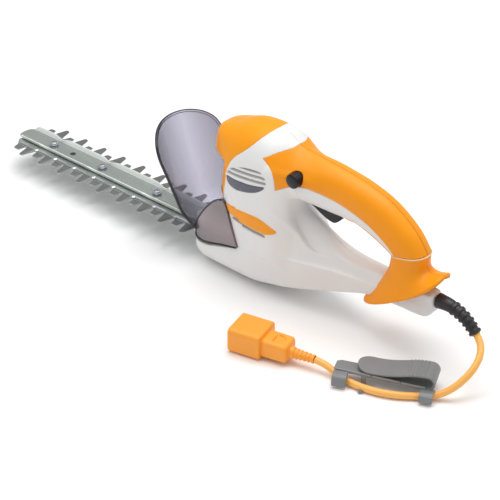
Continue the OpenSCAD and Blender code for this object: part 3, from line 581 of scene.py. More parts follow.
def body_field(x, y, z):
    d = smin(base_field(x, y, z), dome_field(x, y, z), 7.0 + 9*step(50, 72, x))
    return smin(d, handle_field(x, y, z), 0.4 + 7.6*(1 - step(118, 150, x)))


def ring_angle(y, z):
    """Angle about the motor housing's waist: 0 at the side, 90 on the crown."""
    return np.degrees(np.arctan2(z - 105, np.abs(y)))


CAP_REAR = curve([[-40, -3], [-13, 0.2], [0, 2.3], [15, 4.8], [33, 7.1], [44.3, 11.6], [52, 18], [58.5, 27],
                  [66, 35.3], [73, 40.5], [81, 44.6], [90, 46]])
BAND_REAR = curve([[50, 35], [56, 44], [59.5, 50.6], [65, 58.5], [71, 65], [76.5, 69], [82, 71.8], [90, 73]])
PANEL_REAR = curve([[0, 70], [20, 69.7], [36, 69.2], [45, 68.6], [52, 65.3], [56.2, 59.4], [59.5, 50.6],
                    [62, 41], [66, 28]])
GRIP_LOW = curve([[0, -13], [0.5, -12.2], [1.2, -5], [1.9, -0.5], [2.6, -0.5], [3.3, -2], [4, -4.5], [5, -6],
                  [6, -8.5], [6.75, -13]])
STRIP_TOP = curve([[3.5, -23], [3.9, -18.6], [4.5, -16.4], [5.2, -14.4], [6, -12.6], [6.75, -11.5]])
LEAF = curve([[6, 89, 91], [8, 86, 93], [14, 83.5, 93.6], [22, 82, 94.2], [36, 80.5, 95], [50, 78.8, 94.6],
              [60, 78, 91.5], [68, 80, 87], [72, 82.5, 84]])
LEAF_ENDS = (6.5, 72.0)


def cap_seam(x, y, z):
    return np.maximum(x - CAP_REAR(ring_angle(y, z))[..., 0], 56.5 - z)


def grip_seam(x, y, z):
    """Above 0 on the orange grip."""
    u, v = handle_uv(x, z)
    angle = ring_angle(y, z)
    front = np.minimum(x - BAND_REAR(angle)[..., 0], x - PANEL_REAR(angle)[..., 0])
    upper = np.minimum(front, v - GRIP_LOW(u)[..., 0])
    strip = np.minimum(STRIP_TOP(u)[..., 0] - v, (u - 3.5)*15)
    on_handle = (u + 0.9)*19
    return np.minimum(np.maximum(upper, np.minimum(strip, v + 30)), np.maximum(on_handle, -8))


def leaf_seam(x, y, z):
    low, high = np.moveaxis(LEAF(x), -1, 0)
    return np.maximum(np.maximum(low - z, z - high), np.maximum(LEAF_ENDS[0] - x, x - LEAF_ENDS[1]))


def under_leaf(x, y, z):
    return z - LEAF(x)[..., 0]


def side_crease(x, y, z):
    return z - BASE(x)[..., 2]


VENT_X, VENT_Z, VENT_TILT = 34, 131, math.radians(13)
BUTTON_X, BUTTON_Z, BUTTON_HOLE_R = 88, 146, 8.0


def vent_seam(x, y, z):
    a = (x - VENT_X)*math.cos(VENT_TILT) + (z - VENT_Z)*math.sin(VENT_TILT)
    b = -(x - VENT_X)*math.sin(VENT_TILT) + (z - VENT_Z)*math.cos(VENT_TILT)
    return ((np.abs(a)/27.5)**2.4 + (np.abs(b)/13.2)**2.4 + 1e-9)**(1/2.4)*13 - 13


def badge_seam(x, y, z):
    share = (x - 12)/47
    top = 127.2 + 4*share - 1.2*np.sin(np.pi*np.clip(share, 0, 1))
    return np.maximum(vent_seam(x, y, z) + 0.9, z - top)


LOUVRE_PITCH = 5.2


def louvre(x, y, z):
    return z - 131.4 - (x - 16)*3/42


def hole_seam(x, y, z):
    return np.hypot(x - BUTTON_X, z - BUTTON_Z) - BUTTON_HOLE_R


def slot_seam(x, y, z):
    return np.maximum(np.maximum(np.abs(y) - 6.9, np.abs(x - 110.4) - 22.6), z - 127)


def liner_seam(x, y, z):
    return np.minimum(x - 89.5, z - 106)


def middle(x, y, z):
    return y


GROOVE = [-1.0, -0.55, -0.2, 0.0, 0.2, 0.55, 1.0]
points, triangles = surface_net(body_field, (-55, -3.0, -3), (250, 45, 184), 1.3)
points = project(body_field, points)
for seam, levels in ((middle, [0.0, 0.15, 0.4, 0.8]), (cap_seam, GROOVE), (grip_seam, GROOVE),
                     (leaf_seam, [-1.6, -1.0, -0.5, -0.2, 0, 0.3]), (under_leaf, [-4.6, -4.0, -3.2, -0.5]),
                     (vent_seam, [-1.5, -1.0, -0.5, 0, 0.4]), (badge_seam, [-0.7, -0.3, 0.0]),
                     (louvre, [k*LOUVRE_PITCH - 1 + f for k in range(3)
                               for f in (-0.25, 0.0, 0.2, 0.6, 1.2, 1.9, 2.7, 3.6)]),
                     (hole_seam, [0, 0.25, 0.6]), (slot_seam, [0]), (liner_seam, [0]),
                     (side_crease, [0, 0.6])):
    for level in levels:
        points, triangles = cut(points, triangles, body_field, seam, level)
centre = points[triangles].mean(1)
at_side = centre[:, 1] > 0
x0, y0, z0 = centre.T
u0, v0 = handle_uv(x0, z0)
over_base = handle_field(x0, y0, z0) < base_field(x0, y0, z0) + 0.01
end_cap = ((u0 - COLLAR)*20 - COLLAR_TILT*v0 + COLLAR_BACK > -1.0) & over_base & (z0 > 80)
is_cap = cap_seam(x0, y0, z0) < 0
on_tail = (x0 > 190) & (base_field(x0, y0, z0) < handle_field(x0, y0, z0))
is_grip = (grip_seam(x0, y0, z0) > 0) & ~is_cap & ~on_tail
is_leaf = (leaf_seam(x0, y0, z0) < 0) & (y0 > 20)
is_badge = (badge_seam(x0, y0, z0) < 0) & (y0 > 20)
is_white = ~(is_cap | is_grip | is_leaf | is_badge)
by_handle = (u0 > 1.2) & (u0 < COLLAR) & (handle_field(x0, y0, z0) < 4.0) & (v0 < 0)
is_liner = is_white & (liner_seam(x0, y0, z0) > 0) & by_handle
in_slot = (slot_seam(x0, y0, z0) < 0) & (v0 < 0)


def groove(p, seam, r):
    """How deep a rounded edge of radius r has sunk at each point near a seam."""
    g = gradient(seam, p)
    n = skin_normals(body_field, p)
    g -= (g*n).sum(1)[:, None]*n
    s = np.abs(seam(*p.T))/np.maximum(np.linalg.norm(g, axis=1), 0.3)
    t = np.clip(r - s, 0, r)
    return r - np.sqrt(np.maximum(r*r - t*t, 0))


def louvre_phase(w):
    return np.mod(w + 1.0, LOUVRE_PITCH)/LOUVRE_PITCH


def vent_depth(x, y, z):
    w = louvre(x, y, z)
    phase = louvre_phase(w)
    ramp = 1.8*(1 - step(0.2, 0.8, phase))*step(0.0, 0.16, phase)
    field = np.where(w > -1.0, ramp + 0.4, 0.4)
    return field*step(0.0, 1.0, -vent_seam(x, y, z))*(np.abs(y) > 20)


def slot_depth(x, y, z):
    below = under_leaf(x, y, z)
    across = step(-4.8, -4.0, below)*(1 - step(-0.15, 0.25, below))
    return 2.6*across*step(13, 18, x)*(1 - step(56, 62, x))*(np.abs(y) > 20)


def panel(name, mask, seams, mat, slot, stands_for=(), depth=None, sides="both", lift=0.0, wall=2.2,
          dark=None):
    """Object of the triangles in mask: rounded along its seams, then thickened inwards."""
    p, t = only(points, triangles[mask & at_side])
    n = skin_normals(body_field, p)
    sink = np.zeros(len(p))
    for seam, r in seams:
        sink = np.maximum(sink, groove(p, seam, r))
    if depth is not None:
        sink = sink + depth(*p.T)
    outer = p - n*(sink - lift)[:, None]
    inner = p - n*np.maximum(wall, sink + 0.6)[:, None]
    verts, faces = thicken(outer, inner, t)
    if sides != "both":
        if sides == "left":
            verts, faces = mirrored(verts, faces)
        kinds = None
        # dark picks the faces that take a painted shade material.
        if dark is not None:
            kinds = np.zeros(len(faces), int)
            kinds[:len(t)] = dark(*p[t].mean(1).T)
        return make(name, verts, faces, mat, stands_for=stands_for, slot=slot, mats_of=kinds)
    both = np.concatenate([verts, verts*[1, -1, 1]])
    return make(name, both, np.concatenate([faces, faces[:, ::-1] + len(verts)]), mat, stands_for=stands_for,
                slot=slot)


def white_depth(x, y, z):
    return vent_depth(x, y, z) + slot_depth(x, y, z)


def recess(x, y, z):
    """Which painted shade each face takes: 2 in the deepest part of each louvre and in the slot under the
    leaf, 1 on the rest of each louvre's slope, 0 elsewhere.
    """
    w = louvre(x, y, z)
    phase = louvre_phase(w)
    louvres = (w > -1.0) & (phase < 0.53) & (vent_seam(x, y, z) < -0.9)
    below = under_leaf(x, y, z)
    gap = (below > -4.6) & (below < -3.2) & (x > 15) & (x < 60)
    deep = gap | (louvres & (phase < 0.24))
    return (np.abs(y) > 20)*(louvres*1 + deep*(2 - louvres))


def crest_shade(x, y, z):
    """1 on the narrow seam along the handle's top, whose faces take a painted shade."""
    return ((np.abs(y) < 0.42) & (z > 100)).astype(int)


white_seams = [(cap_seam, 0.6), (grip_seam, 0.6), (middle, 0.25), (badge_seam, 0.3)]
shell_faces = is_white & ~is_liner & ~end_cap
for side in ("left", "right"):
    # The louvres and the slot under the leaf take painted shade on the faces that recess picks.
    panel("shell_" + side, shell_faces, white_seams, [WHITE, SHADED, DEEP], "white_plastic",
          ("housing_" + side, "motor_cover_" + side), white_depth, side, dark=recess)
    panel("leaf_" + side, is_leaf, [(leaf_seam, 0.9)], ORANGE, "orange_plastic", ("trim_" + side,), None,
          side, lift=0.9)
    panel("badge_" + side, is_badge, [(badge_seam, 0.3)], BADGE, "badge_plastic", ("vent_badge_" + side,),
          None, side, lift=-0.1, wall=1.4)
    in_hole = (hole_seam(x0, y0, z0) < 0) if side == "left" else np.zeros(len(x0), bool)
    hole = [(hole_seam, 0.6)] if side == "left" else []
    # The seam along the handle's top takes a painted shade.
    panel("grip_skin_" + side, is_grip & ~end_cap & ~in_hole, [(grip_seam, 0.8), (middle, 0.75)] + hole,
          [GRIP, GRIP_SEAM_SHADE], "orange_grip", ("grip_" + side,), None, side, dark=crest_shade)
panel("cap_skin", is_cap, [(cap_seam, 0.8), (middle, 0.4)], ORANGE, "orange_plastic", ("front_cap",))
panel("liner_skin", is_liner & ~end_cap & ~in_slot, [(grip_seam, 0.6), (middle, 0.2), (liner_seam, 0.15)],
      WHITE, "white_plastic", ("handle_liner",))


# ---- orange rear foot: a flared skirt ---------------------------------------------------------
FOOT_CENTRE, FOOT_HALF, FOOT_TILT, FOOT_FLARE = (216.0, 69.5), (48.7, 23.8), math.radians(31), 4.4
COLLAR_PLACE = HANDLE(COLLAR)


def power(v, p):
    return np.sign(v)*np.abs(v)**p


def foot_skin(s, a, inset):
    """Point of the skirt: s from the collar to the hem, a from the front over the left side to the rear."""
    cx, cz, hh, hw = COLLAR_PLACE
    for _ in range(3):
        v = (hh - inset)*power(np.sin(a), 2/2.3)
        u = COLLAR + (COLLAR_TILT*v - COLLAR_BACK)/20
        place = HANDLE(u)
        hh, hw = place[..., 2], place[..., 3]
    ahead = (HANDLE(u + 0.05) - HANDLE(u - 0.05))[..., :2]
    ahead = ahead/np.linalg.norm(ahead, axis=-1)[..., None]
    collar = np.stack([place[..., 0] - ahead[..., 1]*v - cx, -(hw - inset)*power(np.cos(a), 2/2.3),
                       place[..., 1] + ahead[..., 0]*v - cz], -1)
    w = (FOOT_HALF[0] - inset)*power(np.sin(a), 0.8)*(1 + 0.24*(a < 0)*np.clip(-np.sin(a), 0, 1))
    sag = 11.5*np.clip(np.cos(a), 0, 1)**1.1 + 1.5*np.clip(-np.sin(a), 0, 1)
    hem = np.stack([w*math.cos(FOOT_TILT) + 3.2*np.clip(np.sin(-a), -1, 1) - 3.2,
                    -(FOOT_HALF[1] - inset)*power(np.cos(a), 0.55),
                    w*math.sin(FOOT_TILT) - sag], -1)
    mid = np.stack([cx + (FOOT_CENTRE[0] - cx)*s, 0*s, cz + (FOOT_CENTRE[1] - cz)*s], -1)
    f = (s**FOOT_FLARE)[..., None]
    return mid + collar*(1 - f) + hem*f


def foot_half(side):
    rows = np.concatenate([[0.0, 0.006, 0.014, 0.026], np.linspace(0.05, 0.96, 40),
                           [0.972, 0.984, 0.993, 1.0]])
    cols = np.concatenate([[-90, -89.4, -88.6, -87.5], np.linspace(-85, 85, 52), [87.5, 88.6, 89.4, 90]])
    s, a = np.meshgrid(rows, np.radians(cols), indexing="ij")
    outer = foot_skin(s, a, 0.0)
    ds, da = np.gradient(outer, axis=0), np.gradient(outer, axis=1)
    n = np.cross(da, ds)
    n /= np.linalg.norm(n, axis=-1)[..., None] + 1e-9
    if (n[..., 1] < 0).mean() < 0.5:
        n = -n
    ends = [np.abs(outer[..., 1]), (s - rows[0])*60, (1 - s)*46]
    sink = np.zeros_like(s)
    for gap, r in zip(ends, (0.4, 0.8, 1.1)):
        t = np.clip(r - gap, 0, r)
        sink = np.maximum(sink, r - np.sqrt(np.maximum(r*r - t*t, 0)))
    outer = outer - n*sink[..., None]
    outer[..., 1] = np.minimum(outer[..., 1], 0.0)
    inner = outer - n*3.0
    inner[..., 1] = np.minimum(inner[..., 1], 0.0)
    faces = tris(grid_faces(len(rows), len(cols)))
    verts, faces = thicken(outer.reshape(-1, 3), inner.reshape(-1, 3), faces)
    if side == "right":
        verts, faces = mirrored(verts, faces)
    return make("foot_skin_" + side, verts, faces, GRIP, stands_for=("rear_foot_" + side,),
                slot="orange_grip")


for side in ("left", "right"):
    foot_half(side)
# A pale tube round the collar seam paints its highlight.
turn = np.linspace(-np.pi, np.pi, 97)
ring = foot_skin(np.zeros_like(turn), np.where(np.abs(turn) > np.pi/2, np.sign(turn)*np.pi - turn, turn),
                 0.15)
ring[:, 1] *= np.where(np.abs(turn) > np.pi/2, -1, 1)
verts, faces = lathe_on(ring, np.full(len(ring), 0.75), 10)
make("collar_highlight_ring", verts, faces, PALE_HIGHLIGHT, slot="orange_grip")


# ---- lock-off button and trigger -------------------------------------------------------------
def lathe(name, profile, origin, axis, mat, body, sides=72, **more):
    """Turned piece: profile holds (radius, distance along the axis) from one end to the other."""
    w = np.array(axis, float)/np.linalg.norm(axis)
    u = np.cross(w, [0.3, 0.1, 1.0])
    u /= np.linalg.norm(u)
    v = np.cross(w, u)
    a = np.linspace(0, 2*np.pi, sides, endpoint=False)
    ring = np.cos(a)[:, None]*u + np.sin(a)[:, None]*v
    verts = np.concatenate([np.array(origin) + r*ring + h*w for r, h in profile])
    n = len(profile)
    faces = grid_faces(n, sides, closed=True).tolist() + end_faces(n, sides)
    return make(name, verts, faces, mat, body, sharp=35, **more)


BUTTON_R, BUTTON_RIM = 7.5, 31.2
dome = [(BUTTON_R*math.cos(t), BUTTON_RIM - 1.0 + 1.7*math.sin(t))
        for t in np.radians(np.linspace(8, 84, 14))]
lathe("button_skin", [(2.9, 12.1), (2.9, 19.0), (BUTTON_R, 19.1), (BUTTON_R, BUTTON_RIM - 1.2)] + dome
      + [(0.1, BUTTON_RIM + 0.72)], (BUTTON_X, 0, BUTTON_Z), (0, -1, 0), BLACK, "lock_button",
      stands_for=("lock_button",), slot="black_plastic")


def rounded_prism(name, outline, half, bevel, mat, body, **more):
    """Solid with an outline in x and z, so wide in y, with rounded rims."""
    o = np.array(outline, float)
    n = len(o)
    tangent = np.roll(o, -1, axis=0) - np.roll(o, 1, axis=0)
    tangent /= np.linalg.norm(tangent, axis=1)[:, None]
    out = np.stack([tangent[:, 1], -tangent[:, 0]], -1)
    if ((o - o.mean(0))*out).sum() < 0:
        out = -out
    near = [-(half - bevel + bevel*math.sin(t)) for t in np.radians([90, 60, 30, 0])]
    rows = near + [-y for y in near[::-1]]
    verts = []
    for y in rows:
        over = max(abs(y) - (half - bevel), 0)/bevel
        q = o - out*bevel*(1 - math.sqrt(max(1 - over*over, 0)))
        verts += [[a, y, b] for a, b in q]
    faces = grid_faces(len(rows), n, closed=True).tolist()
    faces += [list(range(n)), [(len(rows) - 1)*n + i for i in range(n)][::-1]]
    return face_outwards(make(name, verts, faces, mat, body, sharp=50, **more))


trigger_line = route([[88.3, 118.4], [90, 122.6], [94, 123.2], [100, 121.8], [116, 119.2], [131, 117.3],
                      [131.3, 113], [130.2, 108.4], [126.5, 104.2], [121.5, 101.2], [115, 101.8],
                      [106, 105.2], [98, 109.0], [92.4, 112.2], [88.3, 118.4]], 4)[:-1]
rounded_prism("trigger_skin", trigger_line, 6.1, 1.6, BLACK, "trigger", stands_for=("trigger",),
              slot="black_plastic")

# ---- smoked guard ----------------------------------------------------------------------------
GUARD_T = 2.0


def guard_place(y, z):
    low = np.clip(58 - z, 0, None)/12
    return np.stack([-64 - 0.37*(z - 30) + 0.008*y*y + 6*low*low, y, z], -1)


half_outline = [[0, 40.4], [9, 40.2], [13.6, 39.6], [16.5, 36.8], [21.5, 34.4], [27, 34.2], [30.2, 38.5],
                [31.4, 46], [34, 64], [38.3, 82], [42.6, 98], [46.3, 110], [47.8, 118], [46.4, 125.5],
                [42, 131.5], [35, 136.2], [26, 139.3], [15, 141.2], [0, 142]]
half_curve = route(half_outline, 5)
outline = np.concatenate([half_curve, (half_curve*[-1, 1])[::-1][1:-1]])
ring_at = np.linspace(1, 0.0, 30)**0.8
shoulder = step(46, 66, outline[:, 1])*(1 - step(104, 124, outline[:, 1]))
outline[:, 0] += np.where(outline[:, 0] > 20, 6.5*shoulder, 0)
outline[:, 0] = np.minimum(outline[:, 0], 48.6)
core = np.array([0, 92.0])
flat_rings = core + (outline - core)*ring_at[:, None, None]
sheet = guard_place(flat_rings[..., 0], flat_rings[..., 1])
n_out = len(outline)


def sheet_normal(p):
    y, z = p[..., 1], p[..., 2]
    low = np.clip(58 - z, 0, None)/12
    n = np.stack([-np.ones_like(y), 0.016*y, -0.37 - 12*low/12], -1)
    return n/np.linalg.norm(n, axis=-1)[..., None]


normal = sheet_normal(sheet)
flat_sheet = sheet[:-1].reshape(-1, 3)
faces = tris(grid_faces(len(ring_at) - 1, n_out, closed=True))
tip = len(flat_sheet)
last = (len(ring_at) - 2)*n_out
fan = [[last + i, tip, last + (i + 1) % n_out] for i in range(n_out)]
front = np.concatenate([flat_sheet, sheet[-1][:1]])
rear = front - np.concatenate([normal[:-1].reshape(-1, 3), normal[-1][:1]])*GUARD_T
faces = np.concatenate([faces, np.array(fan)[:, ::-1]])
verts, faces = thicken(front, rear, faces)
make("guard_sheet", verts, faces[:, ::-1], SMOKE, stands_for=("hand_guard",), slot="smoke_plastic")
rim_line = sheet[0] - normal[0]*GUARD_T/2


def ring_tube(name, path, radius, sides, mat, **more):
    """Closed tube round a closed line of points."""
    d = np.roll(path, -1, axis=0) - np.roll(path, 1, axis=0)
    d /= np.linalg.norm(d, axis=1)[:, None]
    out = np.cross(d, sheet_normal(path))
    out /= np.linalg.norm(out, axis=1)[:, None]
    up = np.cross(out, d)
    a = np.linspace(0, 2*np.pi, sides, endpoint=False)
    pts = path[:, None] + radius[0]*np.cos(a)[:, None]*out[:, None]
    pts = pts + radius[1]*np.sin(a)[:, None]*up[:, None]
    n = len(path)
    faces = grid_faces(n + 1, sides, closed=True) % (n*sides)
    return make(name, pts.reshape(-1, 3), faces, mat, **more)


# A dark tube just inside the rim paints the shade along the inner edge of the sheet's thickness.
bead = core + (outline - core)*0.957
edge_shade_line = guard_place(bead[:, 0], bead[:, 1])
edge_shade_line = edge_shade_line - sheet_normal(edge_shade_line)*GUARD_T/2
ring_tube("guard_edge_shade", edge_shade_line, (0.35, 1.15), 10, RIM, slot="smoke_plastic")
ring_tube("guard_rim", rim_line, (0.6, 1.35), 14, RIM, slot="smoke_plastic")

CHEEK_LINE = curve([[-47, 30, 40, 27.5], [-42, 29.5, 49.5, 31], [-34, 30.5, 61, 34.2], [-24, 33, 74, 36.8],
                    [-11, 37, 88, 38.6], [1, 41, 95, 39.6], [7, 42.5, 92, 40.0], [12, 43.8, 79, 40.3],
                    [17, 45, 64, 40.4], [23, 46.6, 47.6, 40.5]])


def cheek(side):
    xs = np.concatenate([[-47, -46.8, -46.4, -45.8], np.linspace(-45, 21.5, 60), [22.2, 22.6, 22.9, 23]])
    ts = np.concatenate([[0, 0.008, 0.02, 0.04], np.linspace(0.07, 0.93, 26), [0.96, 0.98, 0.992, 1.0]])
    x, t = np.meshgrid(xs, ts, indexing="ij")
    low, high, y = np.moveaxis(CHEEK_LINE(x), -1, 0)
    z = low + (high - low)*t
    bulge = 1.1*np.sin(np.pi*t)*np.sin(np.pi*np.clip((x + 47)/70, 0, 1))
    outer = np.stack([x, -(y - 1.2 + bulge), z], -1)
    ends = np.minimum(np.minimum(t, 1 - t)*(high - low), np.minimum(x + 47, 23 - x))
    r = 0.9
    gap = np.clip(r - ends, 0, r)
    outer[..., 1] += r - np.sqrt(np.maximum(r*r - gap*gap, 0))
    inner = outer + np.array([0, 1.9, 0])
    verts, faces = thicken(outer.reshape(-1, 3), inner.reshape(-1, 3), tris(grid_faces(len(xs), len(ts))))
    if side == "right":
        verts, faces = mirrored(verts, faces)
    make("cheek_" + side, verts, faces, CHEEK, slot="smoke_plastic")
    edge = np.array([[xx, CHEEK_LINE(xx)[2] - 0.9, CHEEK_LINE(xx)[1]] for xx in np.linspace(-46.6, 1, 40)])
    under = np.array([[xx, CHEEK_LINE(xx)[2] - 0.9, CHEEK_LINE(xx)[0]]
                      for xx in np.linspace(-46.6, 22.4, 50)])
    path = np.concatenate([under[::-1], edge])*[1, -1 if side == "left" else 1, 1]
    verts, faces = lathe_on(path, np.full(len(path), 0.85), 10)
    make("cheek_rim_" + side, verts, faces, RIM, slot="smoke_plastic")


for side in ("left", "right"):
    cheek(side)


# ---- guide bar and screws --------------------------------------------------------------------
BAR_FRONT, BAR_REAR, BAR_Z, BAR_T, BAR_HALF = -351.0, -33.0, 32.4, 1.6, 13.0
SCREW_X = [-299, -218, -131, -40]
HANG_X = -267


def bar_dip(x):
    """How much the bar is pinched beside its screws, from 0 to 1."""
    return sum(np.exp(-((x - s)/7.5)**2) for s in SCREW_X)


def bar_section(x):
    """Closed ring of the bar's section at x: across its underside and back over its top."""
    tip = np.clip((BAR_FRONT + 14 - x)/14, 0, 1)
    w = BAR_HALF*(1 - tip**2.6)**(1/2.6) + 0.02
    rise = 6.0*step(BAR_FRONT + 2, BAR_FRONT + 12, x) - 2.2*bar_dip(x)
    h = BAR_Z + max(BAR_T + 0.05, rise)
    lean = 2.4*bar_dip(x) - 1.8*step(BAR_FRONT + 3, BAR_FRONT + 16, x)
    r, ri = 2.6, 1.1
    r = min(r, max(w - 0.5, 0.01), (h - BAR_Z)*0.9)
    pts = [[-w + lean, h - 0.25], [-w + lean*0.6, (h + BAR_Z + r)/2]]
    pts += [[-w + r - r*math.cos(a), BAR_Z + r - r*math.sin(a)] for a in np.radians([0, 22, 45, 68, 90])]
    pts += [[y*(w - r), BAR_Z] for y in (-0.7, -0.4, -0.15, 0.15, 0.4, 0.7)]
    pts += [[w - r + r*math.cos(a), BAR_Z + r - r*math.sin(a)] for a in np.radians([90, 68, 45, 22, 0])]
    pts += [[w - lean*0.6, (h + BAR_Z + r)/2], [w - lean, h - 0.25], [w - lean - 0.3, h],
            [w - lean - 1.3, h]]
    wi = max(w - BAR_T, 0.01)
    zi = BAR_Z + BAR_T
    top = max(h - 0.25, zi + 0.02)
    ri = min(ri, wi*0.9, (top - zi)*0.9 + 0.001)
    pts += [[wi - lean, top]]
    pts += [[wi - ri + ri*math.cos(a), zi + ri - ri*math.sin(a)] for a in np.radians([0, 30, 60, 90])]
    pts += [[y*(wi - ri), zi] for y in (0.7, 0.4, 0.15, -0.15, -0.4, -0.7)]
    pts += [[-wi + ri - ri*math.cos(a), zi + ri - ri*math.sin(a)] for a in np.radians([90, 60, 30, 0])]
    pts += [[-wi + lean, top], [-w + lean + 1.3, h], [-w + lean + 0.3, h]]
    return [[x, y, z] for y, z in pts]


stations = np.unique(np.concatenate([BAR_FRONT + 0.05 + 14*(1 - np.cos(np.linspace(0, np.pi/2, 22))),
                                     np.arange(-336, BAR_REAR, 2.5), [BAR_REAR]]))
rings = np.array([bar_section(x) for x in stations])
n_ring = rings.shape[1]
faces = grid_faces(len(stations), n_ring, closed=True).tolist()
ends = []
for base in (0, (len(stations) - 1)*n_ring):
    ring = [base + i for i in range(n_ring)]
    ends.append(ring if base == 0 else ring[::-1])
bar = make("bar_skin", rings.reshape(-1, 3), faces + ends, [ZINC, ZINC_HIGHLIT], stands_for=("guide_bar",),
           slot="zinc_steel", sharp=40)
bm = bmesh.new()
bm.from_mesh(bar.data)
bmesh.ops.triangulate(bm, faces=[f for f in bm.faces if len(f.verts) > 4])
bmesh.ops.recalc_face_normals(bm, faces=bm.faces)
# Steep faces and the bar's top faces take the lighter zinc, a painted highlight.
for face in bm.faces:
    at_top = face.calc_center_median().z/MM > BAR_Z + BAR_T + 1
    face.material_index = int(abs(face.normal.z) < 0.75 or at_top)
bm.to_mesh(bar.data)
bm.free()
WEB_TOP = BAR_Z + BAR_T
# A thin dark disc on the web paints the shade of the hanging hole, which is not cut.
lathe("hang_hole_shade", [(0.05, WEB_TOP + 0.04), (3.4, WEB_TOP + 0.04), (3.4, WEB_TOP + 0.1),
                    (0.05, WEB_TOP + 0.1)],
      (HANG_X, 0, 0), (0, 0, 1), CARBON, "housing", slot="black_plastic")


def screw(name, origin, axis, r, h, stem, mat, stands_for=(), slot="bright_steel"):
    """Pan head screw with a cross recess and a washer rim."""
    w = Vector(axis).normalized()
    u = w.orthogonal().normalized()
    v = w.cross(u)
    sides = 72
    rr = np.concatenate([np.linspace(0.02, 0.72*r, 22), np.linspace(0.76*r, r, 7)])
    a = np.linspace(0, 2*np.pi, sides, endpoint=False)
    verts = []
    for radius in rr:
        for t in a:
            p, q = radius*math.cos(t), radius*math.sin(t)
            top = h*(1 - 0.16*(radius/r)**2 - 0.5*max(0, (radius/r - 0.72)/0.28)**2.4)
            arm = min(abs(p), abs(q))
            far = max(abs(p), abs(q))
            cross = float(1 - step(0.10*r, 0.17*r, arm))*float(1 - step(0.52*r, 0.6*r, far))
            verts.append([p, q, top - 0.55*h*cross])
    for radius, z in ((r, 0.25*h), (1.22*r, 0.22*h), (1.25*r, 0.0), (stem[0], 0.0), (stem[0], -stem[1])):
        verts += [[radius*math.cos(t), radius*math.sin(t), z] for t in a]
    rows = len(rr) + 5
    faces = grid_faces(rows, sides, closed=True).tolist() + end_faces(rows, sides)
    world = [[origin[k] + p*u[k] + q*v[k] + z*w[k] for k in range(3)] for p, q, z in verts]
    o = make(name, world, faces, mat, "housing", stands_for=stands_for, slot=slot, sharp=40)
    return face_outwards(o)


for i, x in enumerate(SCREW_X):
    screw(f"bar_screw_{i}", (x, 0, WEB_TOP + 1.9), (0, 0, 1), 4.4, 2.6, (3.7, 11.5), BRIGHT,
          ("bar_screws",) if i == 0 else ())
for side, sign in (("left", -1), ("right", 1)):
    screw("guard_screw_" + side, (-33, sign*31.4, 46), (0, sign, 0.0), 3.3, 1.6, (1.6, 10), BRIGHT,
          ("guard_screws",) if side == "left" else ())

# ---- blades ----------------------------------------------------------------------------------
PITCH, ROOT, THROW = 32.0, 18.4, 4.0
TIP_R = 3.1
TIP = [[TIP_R*math.cos(a), 38 - TIP_R + TIP_R*math.sin(a)] for a in np.radians(np.arange(0, 181, 22.5))]
LONG = [[9, ROOT], [6.6, 23]] + TIP + [[-6.6, 23], [-9, ROOT]]
SHORT = [[8.4, ROOT], [6, 22], [3.6, 29.6], [3.1, 30], [-3.1, 30], [-3.6, 29.6], [-6, 22], [-8.4, ROOT]]


def blade_edge(tooth, start, front):
    pts = [[25, 20], [-49, 20], [-49, ROOT]]
    for i in range(9):
        pts += [[min(start - i*PITCH + p[0], -54.4), p[1]] for p in tooth]
    return pts + [[front + 5, ROOT], [front, ROOT - 6]]


